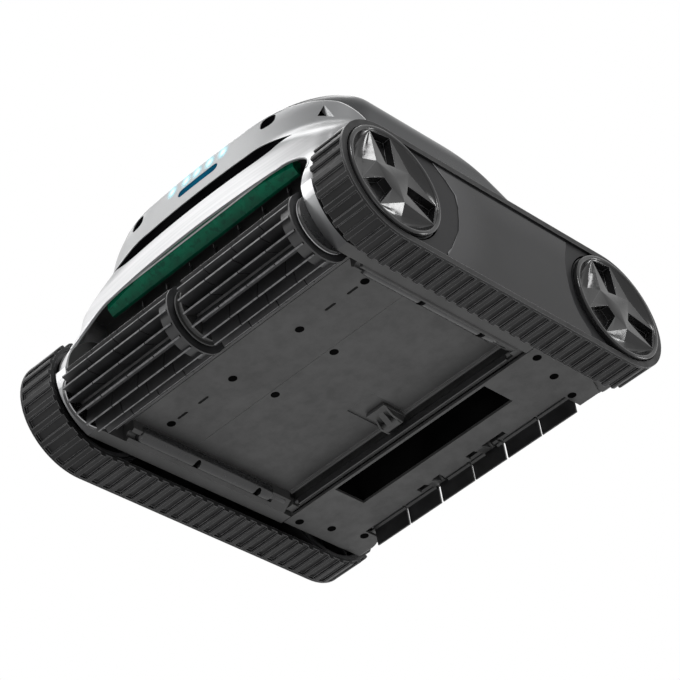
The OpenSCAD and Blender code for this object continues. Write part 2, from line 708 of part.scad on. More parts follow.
// Socket for the end of the rocking lip
module lip_socket() {
    difference() {
        box(rail_in + 1, wall_in, lip_y - 4, rear_plate_y - 1, lip_z - 4, lip_z + 4);
        x_rod(rail_in, wall_in - 3, 1.5 + run_gap, lip_y, lip_z);
    }
}
module rail() {
    difference() {
        y_prism(brush_y + cavity_r + 2, step_y) polygon([[rail_in, plate_top], [rail_in, 18],
            [rail_in + 1.6, 17], [side_in - 1.6, sill_z - 1.4], [side_in, sill_z], [side_in, plate_top]]);
        translate([rail_in + 6.6, -140, 15.5]) rotate([-90, 0, 0]) cylinder(h = 180, r = 3.4);
        for (y = [-61, 14]) box(rail_in + 2.5, rail_in + 6, y - 2, y + 2, 10, 24);
    }
}
module ceiling() {
    z0 = arch_z + 7;
    front = [for (k = [-8 : 8]) let (x = k * wall_in / 8)
        [x, front_y(z0) + shell_t + 1.2 + body_bow * x * x]];
    translate([0, 0, z0]) linear_extrude(wall_t)
        polygon(concat(front, [[wall_in, cavity_y + wall_t], [-wall_in, cavity_y + wall_t]]));
}
module deck() {
    difference() {
        box(-wall_in, wall_in, cavity_y, deck_rear_y - 1, deck_z - deck_t, deck_z);
        box(-bay_x - bay_t - 1, bay_x + bay_t + 1, bay_y0 - bay_t - 1, bay_y1 + bay_t + 1, 0, 200);
        box(-60, 60, bay_y1 + 8, 160, 0, 200);
        for (s = [-1, 1]) box(s * 105 - 32, s * 105 + 32, 60, 180, 0, 200);
    }
}

module belly_hole(p, z0, z1) {
    translate([p[0], p[1], z0 - 1]) cylinder(h = z1 - z0 + 2, r = screw_r);
}
module front_belly_plate() {
    color("#383a3c") difference() {
        box(-rail_in, rail_in, brush_y + cavity_r + wall_t + 0.1, seam_y - 0.4, belly_z, plate_top);
        for (p = front_screws) belly_hole(p, belly_z, plate_top);
        for (s = [-1, 1]) for (x = [80.4, 107.6]) hull() for (t = [-1, 1])
            translate([s * x + 5 * t, -105.3, belly_z - 1]) cylinder(h = plate_t + 2, r = 1.5, $fn = 32);
    }
}
module centre_belly_plate() {
    color("#36383a") difference() {
        union() {
            box(-rail_in, rail_in, seam_y, step_y, belly_z, plate_top);
            x_rod(0.2 - rail_in, rail_in - 0.2, 1.6, step_y + 2, belly_z - 0.6);
            box(0.2 - rail_in, rail_in - 0.2, step_y - 1, step_y + 3.6, belly_z - 0.6, belly_z + 1.4);
        }
        for (p = centre_screws) belly_hole(p, belly_z, plate_top);
        box(-17, 15, 15, 56, belly_z - 3, belly_z + 1.4);
    }
}
module rear_outline2d() {
    w = side_in + 10;
    difference() {
        polygon([[-w, rear_plate_y], [w, rear_plate_y], [w, 150], [w - 10, 172], [127, 172],
            [127, flap_edge_y], [-127, flap_edge_y], [-127, 172], [10 - w, 172], [-w, 150]]);
        translate([-mouth_w / 2, mouth_y0]) square([mouth_w, mouth_y1 - mouth_y0]);
        translate([-52, 141]) square([30, 40]);
        translate([11, 141]) square([47, 40]);
    }
}
module rear_belly_plate() {
    color("#333537") {
        difference() {
            translate([0, 0, rear_z]) linear_extrude(plate_t) rear_outline2d();
            for (p = rear_screws) belly_hole(p, rear_z, rear_top);
        }
        for (c = [-37, 26]) flap_clip(c);
    }
}
// Clip with a through-bore that carries the rod of the rear flap
module flap_clip(x) {
    difference() {
        union() {
            x_rod(x - 4, x + 4, flap_rod_r + 2, flap_rod_y, flap_rod_z);
            x_prism(x - 4, x + 4) polygon([[134, rear_top], [134, rear_z + 0.4], [144, rear_z + 0.4],
                [flap_rod_y, flap_rod_z - 4], [flap_rod_y - 1, flap_rod_z + 3.6]]);
        }
        x_rod(x - 5, x + 5, flap_rod_r + run_gap, flap_rod_y, flap_rod_z);
    }
}
module belly_screws() {
    color("#141516") {
        for (p = concat(front_screws, centre_screws)) translate([p[0], p[1], belly_z + 1])
            cylinder(h = plate_t - 1, r = screw_r);
        for (p = rear_screws) translate([p[0], p[1], rear_z + 1]) cylinder(h = plate_t - 1, r = screw_r);
    }
}

// Rocking lip across the front of the suction mouth
module inlet_lip() {
    color("#2b2d2f") {
        x_rod(0.6 - rail_in, rail_in - 0.6, 2.6, lip_y, lip_z);
        box(5 - rail_in, rail_in - 5, lip_y - 2.6, lip_y - 0.8, 13, lip_z + 0.5);
        x_rod(-rail_in - 6, rail_in + 6, 1.5, lip_y, lip_z);
    }
}

// Strip of rubber fingers on a rod behind the rear plate
module rear_flap() {
    z1 = flap_rod_z + 4;
    color("#2e3032") {
        x_rod(-flap_w / 2 - 6, flap_w / 2 + 6, flap_rod_r, flap_rod_y, flap_rod_z);
        for (r = [[-flap_w / 2, -84.6], [-83.4, -49], [-27, -0.6], [0.6, 15], [37, 83.4], [84.6, flap_w / 2]])
            x_prism(r[0], r[1]) {
                polygon([[flap_y - flap_t, flap_clear], [flap_y, flap_clear], [flap_y, z1 - 4],
                    [flap_y - 3, z1], [flap_rod_y, z1], [flap_rod_y, flap_rod_z],
                    [flap_y - flap_t - 1, flap_rod_z], [flap_y - flap_t, flap_rod_z - 3]]);
                translate([flap_rod_y, flap_rod_z]) circle(flap_rod_r + 1.6);
            }
    }
}

// ---------- upper body ----------
module fascia() {
    color("#c9ccce") {
        difference() {
            intersection() {
                body_skin(0, shell_t);
                x_prism(-200, 200) fascia_side2d(0);
            }
            x_rod(-200, 200, pillar_in, -wheel_y, wheel_z);
            y_prism(-260, -100) arch2d();
            y_prism(-260, -100) slit2d(0);
            y_prism(-260, -140) light2d(0);
            y_prism(-260, -100) sensors2d(5.6);
        }
        both_sides() x_prism(side_in, side_out) difference() {
            intersection() {
                translate([-wheel_y, wheel_z]) circle(side_r);
                translate([-300, brush_z + 14]) square([300 - wheel_y - 4, body_front_z - seat - brush_z - 14]);
            }
            translate([-wheel_y, wheel_z]) circle(pillar_in);
        }
    }
}
module lens_strip() {
    color("#08090a") intersection() {
        body_skin(shell_t, shell_t + 2, 140, 198);
        y_prism(-240, -130) slit2d(4);
    }
}
module light_bar() {
    color("#5fd8ee") intersection() {
        body_skin(0.5, shell_t, 185, 214);
        y_prism(-240, -140) light2d(0);
    }
}
module front_sensors() {
    color("#1c1e20") intersection() {
        body_skin(0.4, shell_t, 198, 228);
        y_prism(-240, -140) sensors2d(5.6);
    }
}
module green_window() {
    run = 120;
    window_y = front_y(arch_z + 7) + shell_t + 0.8;
    front = [for (k = [-8 : 8]) let (x = k * run / 8) [x, body_bow * x * x]];
    color("#0a6b4c") intersection() {
        translate([0, 0, arch_z - 12]) linear_extrude(19)
            polygon(concat([for (p = front) [p[0], window_y + p[1]]], [[run, cavity_y - 5], [-run, cavity_y - 5]]));
        x_prism(-run, run) polygon([[window_y, arch_z + 7], [window_y, arch_z + 4], [window_y + 12, arch_z - 8],
            [window_y + 15, arch_z - 8], [window_y + 18, arch_z + 7]]);
    }
}

module deck_flange(side) {
    ring = body_ring(deck_z, 0.6);
    difference() {
        translate([0, 0, deck_z]) linear_extrude(2.4) polygon(ring);
        box(-side_in + 14, side_in - 14, cavity_y + 12, deck_rear_y - 12, 0, 300);
        box(-300, 300, -300, face_seam_y + 31, 0, 300);
    }
}
module top_cover() {
    color("#3c3f43") {
        difference() {
            union() {
                intersection() {
                    body_skin(0, shell_t);
                    x_prism(-200, 200) cover_side2d(seat);
                }
                translate([0, button_y, 216]) cylinder(h = 13, r = button_r + 4);
                for (s = [-1, 1]) hinge_ears(s * 72);
            }
            box(-lid_w / 2, lid_w / 2, lid_y0, lid_y1, 150, 260);
            for (s = [-1, 1]) box(s * 72 - 12, s * 72 + 12, lid_y1 - 1, hinge_y + 4.2, 200, 260);
            translate([0, button_y, 218]) cylinder(h = 9, r = button_r + 2);
            translate([0, button_y, 220]) cylinder(h = 40, r = button_r + part_gap);
            outlet_axis() cylinder(h = 40, r = grille_r, center = true);
            for (s = [-1, 1]) handle_foot(s, 0);
            box(port_x - 9, port_x + 9, port_y - 13, port_y + 13, crown_z(port_y) - 2.2, 260);
            translate([port_x, port_y, 200]) cylinder(h = 60, r = 4);
        }
        deck_flange();
        for (s = [-1, 1]) hinge_pin(s * 72);
        port_pins();
    }
}
module hinge_ears(x) {
    z = crown_z(hinge_y);
    for (s = [-1, 1]) x_rod(x + s * 14 - 2, x + s * 14 + 2, hinge_r, hinge_y, z);
}
module hinge_pin(x) {
    x_rod(x - 12.5, x + 12.5, pin_r, hinge_y, crown_z(hinge_y));
}
module outlet_axis() {
    translate([0, pump_y, crown_z(pump_y)]) rotate([-atan(2 * body_fall * (pump_y - body_crown_y)), 0, 0])
        children();
}
module handle_foot(s, gap) {
    box(s * 62 - 5 - gap, s * 62 + 5 + gap, 162 - gap, 176 + gap, 120, 300);
}
module port_pins() {
    z = crown_z(port_y) - 0.6;
    x_rod(port_x - 9.5, port_x + 9.5, 0.7, port_y - 11, z);
}
module lid() {
    g = part_gap;
    z = crown_z(hinge_y);
    color("#303337") difference() {
        union() {
            intersection() {
                body_skin(0, shell_t, 208, 240);
                box(g - lid_w / 2, lid_w / 2 - g, lid_y0 + g, lid_y1 - g, 150, 260);
            }
            for (s = [-1, 1]) {
                x_rod(s * 72 - 11.7, s * 72 + 11.7, hinge_r, hinge_y, z);
                box(s * 72 - 11.7, s * 72 + 11.7, lid_y1 - 5, hinge_y, z - 1, z + 1.2);
            }
            translate([0, lid_y0 + 16, crown_z(lid_y0) - 12]) box(-20, 20, -1.5, 1.5, 0, 16);
        }
        for (s = [-1, 1]) x_rod(s * 72 - 13, s * 72 + 13, pin_r + run_gap, hinge_y, z);
    }
}
module carry_handle() {
    z0 = crown_z(176) - 8;
    color("#26292c") {
        for (s = [-1, 1]) intersection() {
            handle_foot(s, 0);
            box(-80, 80, 150, 190, z0 - 10, z0 + 46);
        }
        x_prism(-62, 62) translate([169, z0 + 44]) {
            square([14, 8], center = true);
            circle(5.6);
        }
    }
}
module power_button() {
    color("#0f1011") translate([0, button_y, 0]) {
        translate([0, 0, 220.6]) cylinder(h = 11, r = button_r);
        translate([0, 0, 220.6]) cylinder(h = 3, r = button_r + 1.4);
    }
}
module charge_cap() {
    z = crown_z(port_y) - 0.6;
    color("#1a1b1d") difference() {
        union() {
            box(port_x - 8.4, port_x + 8.4, port_y - 10, port_y + 12.4, z - 0.9, z + 0.9);
            x_rod(port_x - 8.4, port_x + 8.4, 1.4, port_y - 11, z);
        }
        x_rod(port_x - 10, port_x + 10, 0.7 + run_gap, port_y - 11, z);
    }
}
module outlet_grille() {
    color("#17181a") outlet_axis() {
        difference() {
            translate([0, 0, -7]) cylinder(h = 7.6, r = grille_r);
            translate([0, 0, -8]) cylinder(h = 10, r = grille_r - 3.5);
        }
        translate([0, 0, -4.6]) linear_extrude(4.2) {
            circle(10);
            for (r = [20, 28]) difference() {
                circle(r);
                circle(r - 1.6);
            }
            for (k = [0 : 11]) rotate(k * 30) translate([9, -0.9]) square([grille_r - 11, 1.8]);
        }
    }
}

// ---------- filter, duct and pump ----------
module filter_bay() {
    color("#232527") difference() {
        box(-bay_x - bay_t, bay_x + bay_t, bay_y0 - bay_t, bay_y1 + bay_t, bay_z - bay_t, 212);
        box(-bay_x, bay_x, bay_y0, bay_y1, bay_z, 300);
        box(-duct_x + 6, duct_x - 6, bay_y1 - 1, bay_y1 + bay_t + 1, bay_z + 1, duct_top - 3);
        translate([0, bay_y1 + 4, 165]) rotate([90, 0, 0]) cylinder(h = 8, r = 24);
    }
}
module filter_basket() {
    w = basket_w / 2;
    color("#9aa0a4") {
        difference() {
            box(-w, w, basket_y0, basket_y1, basket_z0, basket_z1);
            box(basket_t - w, w - basket_t, basket_y0 + basket_t, basket_y1 - basket_t, basket_z0 + basket_t, 300);
            box(-70, 70, basket_y1 - 5, basket_y1 + 1, basket_z0 + 4, duct_top - 4);
            for (x = [-66 : 22 : 66])
                box(x - 8, x + 8, basket_y0 - 1, basket_y0 + screen_in, basket_z0 + 26, basket_z1 - 14);
            for (s = [-1, 1], y = [basket_y0 + 12 : 22 : basket_y1 - 26])
                box(s * w - screen_in, s * w + screen_in, y, y + 16, basket_z0 + 26, basket_z1 - 14);
        }
        for (s = [-1, 1]) difference() {
            x_rod(s * (w - 4.4) - 2.2, s * (w - 4.4) + 2.2, 6, (basket_y0 + basket_y1) / 2, basket_z1 - 7);
            x_rod(s * (w - 5.7) - 1.2, s * (w - 5.7) + 1.2, bail_r + run_gap, (basket_y0 + basket_y1) / 2,
                basket_z1 - 7);
        }
    }
}
// Folding carrying bail in the walls of the basket, lying down at rest
module basket_bail() {
    w = basket_w / 2 - 12;
    y0 = (basket_y0 + basket_y1) / 2;
    z = basket_z1 - 7;
    reach = 52;
    color("#6f757a") {
        for (s = [-1, 1]) {
            translate([s * w, y0, z]) rotate([90, 0, 0]) cylinder(h = reach, r = bail_r);
            x_rod(s * (w + 3.6) - 3.6, s * (w + 3.6) + 3.6, bail_r, y0, z);
            translate([s * w, y0, z]) sphere(bail_r);
            translate([s * w, y0 - reach, z]) sphere(bail_r);
        }
        x_rod(-w, w, bail_r, y0 - reach, z);
    }
}

module inlet_duct() {
    z0 = rear_top;
    color("#1b1d1f") difference() {
        union() {
            box(-duct_x - duct_t, duct_x + duct_t, mouth_y0 - 1 - duct_t, mouth_y1 + 1 + duct_t, z0, duct_top);
            box(4 - duct_x, duct_x - 4, bay_y1 + bay_t + 0.3, mouth_y0, bay_z + 1 - duct_t, duct_top);
        }
        box(-duct_x, duct_x, mouth_y0 - 1, mouth_y1 + 1, z0 - 1, duct_top - duct_t);
        box(6 - duct_x, duct_x - 6, bay_y1, mouth_y0 + 3, bay_z + 1, duct_top - duct_t - 1);
        x_rod(-duct_x - 4, duct_x + 4, 1.6 + run_gap, mouth_y0 + 3, 58);
    }
}
module inlet_flap() {
    color("#2f3133") {
        x_rod(-duct_x - duct_t, duct_x + duct_t, 1.6, mouth_y0 + 3, 58);
        x_rod(0.6 - duct_x, duct_x - 0.6, 2.6, mouth_y0 + 3, 58);
        box(1 - duct_x, duct_x - 1, mouth_y0 + 3, mouth_y1 + 0.4, 57, 58.8);
    }
}

// Round chamber under the outlet, with its inlet from the filter bay
module pump_housing() {
    color("#2a2c2f") outlet_axis() difference() {
        union() {
            translate([0, 0, -50]) cylinder(h = 42.8, r = grille_r + 3);
            translate([0, 0, -50]) cylinder(h = 2.5, r = grille_r + 5);
        }
        translate([0, 0, -47]) cylinder(h = 50, r = grille_r - 1);
        translate([0, 0, -60]) cylinder(h = 30, r = 4.2);
        for (k = [0 : 7]) rotate(k * 45) translate([24, 0, -60]) cylinder(h = 30, r = 7);
    }
}
module pump_motor() {
    color("#b9bdc1") outlet_axis() {
        translate([0, 0, -78]) cylinder(h = 28, r = 15);
        translate([0, 0, -55]) cylinder(h = 5, r = 17);
    }
}
module impeller() {
    color("#3f6f7d") outlet_axis() {
        difference() {
            union() {
                translate([0, 0, -44]) cylinder(h = 30, r = 9);
                translate([0, 0, -44]) cylinder(h = 2, r = grille_r - 5);
                for (k = [0 : 4]) rotate(k * 72) translate([4, -1, -43]) rotate([0, 0, 24])
                    cube([grille_r - 11, 2, 18]);
            }
            translate([0, 0, -50]) cylinder(h = 22, r = 3);
        }
        translate([0, 0, -50]) cylinder(h = 22, r = 3);
    }
}

module power_box() {
    color("#25272a") difference() {
        box(-box_x, box_x, box_y0, box_y1, plate_top, box_top);
        box(3 - box_x, box_x - 3, box_y0 + 3, box_y1 - 3, plate_top + 3, box_top - 3);
    }
}
module battery_pack() {
    r = 9.2;
    color("#2f6f9f") for (j = [-1, 1], k = [0 : 7])
        x_rod(j * 45 - 35, j * 45 + 35, r, box_y0 + 16 + k * 2.1 * r, plate_top + 3 + r);
}
module drive_motors() {
    color("#8f9498") both_sides() difference() {
        union() {
            x_rod(wall_in - 46, wall_in, motor_r, wheel_y, wheel_z);
            x_rod(wall_in - 8, wall_in, motor_r + 4, wheel_y, wheel_z);
        }
        x_rod(side_in - 9.5, side_in + 1, axle_r + run_gap, wheel_y, wheel_z);
    }
}

chassis();
front_belly_plate();
centre_belly_plate();
rear_belly_plate();
side_frame_left();
side_frame_right();
gear_cover_left();
gear_cover_right();
track_left();
track_right();
wheel_front_left();
wheel_front_right();
wheel_rear_left();
wheel_rear_right();
hub_cap_front_left();
hub_cap_front_right();
hub_cap_rear_left();
hub_cap_rear_right();
front_axle_left();
front_axle_right();
drive_shaft_left();
drive_shaft_right();
wheel_gear_left();
wheel_gear_right();
brush_pinion_left();
brush_pinion_right();
brush_left();
brush_right();
brush_shaft_left();
brush_shaft_right();
brush_bearing();
brush_guards();
side_panel_left();
side_panel_right();
fascia();
lens_strip();
light_bar();
front_sensors();
green_window();
top_cover();
lid();
carry_handle();
power_button();
charge_cap();
outlet_grille();
filter_bay();
filter_basket();
basket_bail();
inlet_duct();
inlet_flap();
inlet_lip();
rear_flap();
pump_housing();
pump_motor();
impeller();
power_box();
battery_pack();
drive_motors();
belly_screws();
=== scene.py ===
# Tracked pool cleaner, dressed over its CAD frame.
# Metres in Blender, millimetres in the shape functions: -Y is the front, +X the cleaner's left, +Z up.
import bmesh
import bpy
import json
import math
import numpy as np
from mathutils import Vector, Matrix


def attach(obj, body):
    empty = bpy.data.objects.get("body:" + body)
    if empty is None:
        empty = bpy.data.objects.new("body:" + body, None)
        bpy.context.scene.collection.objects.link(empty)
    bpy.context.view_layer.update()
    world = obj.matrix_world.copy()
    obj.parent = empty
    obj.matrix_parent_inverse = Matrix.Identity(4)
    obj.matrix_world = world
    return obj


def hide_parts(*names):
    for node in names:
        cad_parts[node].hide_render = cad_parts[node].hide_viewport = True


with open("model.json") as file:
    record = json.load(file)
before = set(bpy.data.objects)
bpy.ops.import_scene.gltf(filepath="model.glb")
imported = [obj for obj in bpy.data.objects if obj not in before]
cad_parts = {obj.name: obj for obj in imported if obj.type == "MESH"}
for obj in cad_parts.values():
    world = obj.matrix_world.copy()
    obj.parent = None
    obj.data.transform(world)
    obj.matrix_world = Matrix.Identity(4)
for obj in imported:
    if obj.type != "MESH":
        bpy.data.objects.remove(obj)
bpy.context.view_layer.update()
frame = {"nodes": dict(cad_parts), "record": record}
print("frame loaded")

mm = 0.001


# Wraps a shader socket, so that arithmetic on it adds Math nodes.
class Sock:
    def __init__(self, mat, out):
        self.mat, self.out = mat, out

    def op(self, kind, *others):
        return self.mat.node("ShaderNodeMath", {"operation": kind}, dict(enumerate((self, *others))))

    def __add__(self, o):
        return self.op("ADD", o)

    def __radd__(self, o):
        return self.op("ADD", o)

    def __sub__(self, o):
        return self.op("SUBTRACT", o)

    def __rsub__(self, o):
        return self.mat.node("ShaderNodeMath", {"operation": "SUBTRACT"}, {0: o, 1: self})

    def __mul__(self, o):
        return self.op("MULTIPLY", o)

    def __rmul__(self, o):
        return self.op("MULTIPLY", o)

    def high(self, o):
        return self.op("MAXIMUM", o)

    def low(self, o):
        return self.op("MINIMUM", o)

    def abs(self):
        return self.op("ABSOLUTE")

    def sqrt(self):
        return self.op("SQRT")

    # Smooth step from lo to hi as the value goes from a to b; a above b runs downwards.
    def ramp(self, a, b, lo=0.0, hi=1.0):
        return self.mat.node("ShaderNodeMapRange", {"clamp": True, "interpolation_type": "SMOOTHSTEP"},
                             {"Value": self, "From Min": a, "From Max": b, "To Min": lo, "To Max": hi})


# One material. node() makes any node: its type, its settings, its socket values or links.
class Finish:
    def __init__(self, name, color, rough, metal=0.0, **fixed):
        self.m = bpy.data.materials.new(name)
        self.m.use_nodes = True
        self.t = self.m.node_tree
        self.t.nodes.clear()
        self.bsdf = self.t.nodes.new("ShaderNodeBsdfPrincipled")
        self.end = self.t.nodes.new("ShaderNodeOutputMaterial")
        self.t.links.new(self.bsdf.outputs[0], self.end.inputs[0])
        self.bsdf.inputs["Base Color"].default_value = (*color, 1)
        self.bsdf.inputs["Roughness"].default_value = rough
        self.bsdf.inputs["Metallic"].default_value = metal
        for k, v in fixed.items():
            self.bsdf.inputs[k.replace("_", " ")].default_value = v

    def node(self, kind, settings, values, out=0):
        n = self.t.nodes.new(kind)
        for k, v in settings.items():
            setattr(n, k, v)
        for k, v in values.items():
            s = n.inputs[k]
            if isinstance(v, Sock):
                self.t.links.new(v.out, s)
            else:
                s.default_value = v
        return Sock(self, n.outputs[out])

    def feed(self, name, value):
        self.t.links.new(value.out, self.bsdf.inputs[name])

    def place(self):
        return self.node("ShaderNodeTexCoord", {}, {}, "Object")

    def axes(self):
        p = self.place()
        return [self.node("ShaderNodeSeparateXYZ", {}, {0: p}, i) for i in range(3)]

    def noise(self, scale, detail=3.0, rough=0.55, distortion=0.0):
        return self.node("ShaderNodeTexNoise", {"noise_dimensions": "3D"},
                         {"Vector": self.place(), "Scale": scale, "Detail": detail, "Roughness": rough,
                          "Distortion": distortion})

    def mix(self, mask, a, b):
        a, b = [c if isinstance(c, Sock) else (*c, 1) for c in (a, b)]
        return self.node("ShaderNodeMix", {"data_type": "RGBA"}, {0: mask, 6: a, 7: b}, 2)

    def bump(self, height, strength, distance, under=None):
        vals = {"Height": height, "Strength": strength, "Distance": distance}
        if under is not None:
            vals["Normal"] = under
        self.feed("Normal", self.node("ShaderNodeBump", {}, vals))

    # Rounded normal within a width of every edge, and a mask that is 1 on the edges.
    def edges(self, width):
        soft = self.node("ShaderNodeBevel", {"samples": 4}, {"Radius": width})
        flat = self.node("ShaderNodeNewGeometry", {}, {}, "True Normal")
        near = self.node("ShaderNodeVectorMath", {"operation": "DOT_PRODUCT"},
                         {0: soft, 1: flat}, "Value")
        return soft, (1 - near).ramp(0.01, 0.16)


# A colour made lighter or darker by a factor, with an even amount added.
def shade(color, factor, add=0.0):
    return tuple(min(1.0, c * factor + add) for c in color)


# Moulded plastic or rubber: fine spark texture, soft flow marks, scuffed patches, and pale edges that are a
# painted highlight.
def moulded(name, color, rough, grain=2600.0, depth=0.00004, edge=None, edgeColor=None, **fixed):
    f = Finish(name, color, rough, **fixed)
    cloud = f.noise(22.0, 4.0)
    fine = f.noise(grain, 2.0)
    wipe = f.noise(70.0, 5.0, 0.65)
    tone = f.mix(cloud.ramp(0.3, 0.7), shade(color, 0.8), shade(color, 1.2, 0.002))
    soft = None
    if edge:
        # painted highlight: a paler colour along the edges, patchy with the scuff noise
        soft, highlightMask = f.edges(edge)
        tone = f.mix(highlightMask * wipe.ramp(0.25, 0.6, 0.45, 1.0), tone, edgeColor)
    f.tone = tone
    f.feed("Base Color", tone)
    f.feed("Roughness", (wipe.ramp(0.35, 0.7) - 0.5) * 0.16 + rough)
    f.bump(fine, 0.35, depth, soft)
    return f


# Sprayed metallic paint: tiny flakes, a slow orange peel and faint wiped streaks.
def painted(name, color, rough, metal, flake=0.05, **fixed):
    f = Finish(name, color, rough, metal, **fixed)
    flakes = f.noise(5200.0, 1.0)
    cloud = f.noise(9.0, 3.0)
    peel = f.noise(420.0, 2.0)
    f.tone = f.mix(flakes.ramp(0.35, 0.65) * 0.6 + cloud.ramp(0.3, 0.7) * 0.4,
                   shade(color, 1 - flake), shade(color, 1 + flake))
    f.feed("Base Color", f.tone)
    f.feed("Roughness", (cloud.ramp(0.3, 0.7) - 0.5) * 0.08 + rough)
    f.bump(peel, 0.12, 0.00006)
    return f


# Turned or ground metal: fine rings along x.
def lathed(name, color, rough):
    f = Finish(name, color, rough, 1.0)
    x = f.axes()[0]
    rings = f.node("ShaderNodeTexNoise", {"noise_dimensions": "1D"},
                   {"W": x * 3000.0, "Scale": 1.0, "Detail": 2.0})
    cloud = f.noise(60.0)
    f.feed("Base Color", f.mix(rings.ramp(0.3, 0.7), shade(color, 0.85), shade(color, 1.1)))
    f.feed("Roughness", cloud.ramp(0.3, 0.7, rough - 0.06, rough + 0.08))
    f.bump(rings, 0.2, 0.00002)
    return f


# The edge colours are a painted highlight along the edges; the edge widths set how wide it runs.
lookOf = {
    "belt": dict(color=(0.016, 0.016, 0.0165), rough=0.42, edge=0.0009, edgeColor=(0.30, 0.30, 0.305)),
    "body": dict(color=(0.036, 0.036, 0.036), rough=0.55, edge=0.0006, edgeColor=(0.12, 0.12, 0.12)),
    "drum": dict(color=(0.016, 0.016, 0.017), rough=0.45),
    "brush": dict(color=(0.017, 0.017, 0.018), rough=0.5),
    "cap": dict(color=(0.011, 0.011, 0.0115), rough=0.2, edge=0.0005, edgeColor=(0.32, 0.32, 0.33)),
    "panel": dict(color=(0.006, 0.006, 0.007), rough=0.2),
    "fascia": dict(color=(0.40, 0.405, 0.41), rough=0.34, metal=0.4),
    "cover": dict(color=(0.026, 0.027, 0.029), rough=0.3, metal=0.3),
    "nylon": dict(color=(0.62, 0.60, 0.54), rough=0.45),
}
axis = dict(brushY=-182.0, brushZ=36.0, wheelY=147.2, wheelZ=62.2)      # the rollers' and the wheels' axes


# Distance in metres from the line along x through (y0, z0) mm: root of dy squared plus dz squared.
def around(f, y0, z0):
    y, z = f.axes()[1:]
    dy = y - y0 * mm
    dz = z - z0 * mm
    return (dy * dy + dz * dz).sqrt()


# Bladed roller rubber: a painted highlight in a thin ring at the blades' ends, broken by noise.
def brushMaterial():
    f = moulded("brushRubber", **lookOf["brush"], grain=1500.0, depth=0.00005)
    r = around(f, axis["brushY"], axis["brushZ"])
    tip = r.ramp(0.0347, 0.03495) * r.ramp(0.0354, 0.0360, 1.0, 0.0)
    nick = f.noise(240.0, 3.0).ramp(0.3, 0.6, 0.35, 1.0)
    # painted highlight: pale colour on the blade tips
    f.feed("Base Color", f.mix(tip * nick, f.tone, (0.16, 0.16, 0.165)))
    return f


# The rim colour is a painted highlight.
guard = dict(color=(0.014, 0.014, 0.015), rim=(0.5, 0.5, 0.51), rimR=0.0280, rimX=0.1468)      # in metres


# Dark bearing disc with a painted highlight: a bright rim on its inner side.
def guardMaterial():
    g = guard
    f = moulded("guardPlastic", g["color"], 0.3)
    x = f.axes()[0]
    edge = around(f, axis["brushY"], axis["brushZ"]).ramp(g["rimR"], g["rimR"] + 0.0002)
    rim = edge * x.abs().ramp(g["rimX"], g["rimX"] + 0.0004, 1.0, 0.0)
    f.feed("Base Color", f.mix(rim, f.tone, g["rim"]))
    return f


# The sheen colour is painted light: a highlight line and sheen on the gloss.
panel = dict(bezel=(0.016, 0.016, 0.017), paintedSheen=(0.34, 0.34, 0.35),
             faceX=0.20262, edgeY=-0.0605, waistZ=0.0925)      # in metres


# Gloss cover between the wheels; the lower bezels round the wheels are grey and dull.
# The painted sheen hugs a curve: its y falls with the square of the height off the waist, and faster above
# it.
def panelMaterial():
    p = panel
    f = moulded("panelGloss", **lookOf["panel"], grain=300.0, depth=0.00001,
                Coat_Roughness=0.06, Specular_IOR_Level=0.14)
    x, y, z = f.axes()
    gloss = x.abs().ramp(p["faceX"], p["faceX"] + 0.00023)
    wipe = f.noise(60.0, 4.0)
    up = z - p["waistZ"]
    edge = y - p["edgeY"] + up * up * 4.5 + up.high(0.0) * 0.78
    # painted highlight: a thin bright line on that curve, a softer painted sheen behind it and a lighter top
    line = edge.ramp(0.0, 0.0022, 0.55, 0.0)
    fade = edge.ramp(0.0, 0.05, 0.11, 0.0)
    paintedSheen = line + fade + z.ramp(0.085, 0.118, 0.0, 0.06)
    f.feed("Base Color", f.mix(gloss, p["bezel"], f.mix(paintedSheen, f.tone, p["paintedSheen"])))
    f.feed("Roughness", gloss * -0.28 + 0.42 + wipe * 0.06)
    f.feed("Coat Weight", gloss * 0.10)
    return f


# Side frame: dark, its forward round edge sprayed like the fascia, the spray darkening downwards as painted
# shade.
def sideMaterial():
    f = moulded("sideFrame", **lookOf["body"], grain=3000.0)
    y, z = f.axes()[1:]
    rim = around(f, -axis["wheelY"], axis["wheelZ"]).ramp(0.0561, 0.0564)
    front = (y * -1.0).ramp(0.150, 0.156)
    metal = rim * front
    # darker towards the bottom: painted shade over the sprayed edge
    sprayAndShade = f.mix(z.ramp(0.012, 0.055), (0.05, 0.05, 0.052), (0.42, 0.425, 0.43))
    f.feed("Base Color", f.mix(metal, f.tone, sprayAndShade))
    f.feed("Metallic", metal * 0.6)
    f.feed("Roughness", metal * -0.22 + 0.5)
    return f


# Lit diffuser: brighter towards its middle.
def lightMaterial():
    f = Finish("lightDiffuser", (0.05, 0.20, 0.27), 0.3, Specular_IOR_Level=0.0, Emission_Strength=0.6)
    x = f.axes()[0]
    middle = (x * 38.0).abs().ramp(0.0, 1.1, 1.0, 0.35)
    cell = f.noise(500.0).ramp(0.3, 0.7)
    f.feed("Emission Color", f.mix(middle * (cell * 0.2 + 0.9), (0.001, 0.022, 0.05), (0.004, 0.08, 0.15)))
    f.feed("Base Color", f.mix(cell, (0.002, 0.025, 0.05), (0.004, 0.04, 0.07)))
    return f


glow = dict(at=(-36, -17, -2.5, 14, 31), z=217.4, hot=0.0042, halo=0.0085,
            x0=-48.0, x1=44.0, z0=209.0, z1=225.5, proud=0.25)


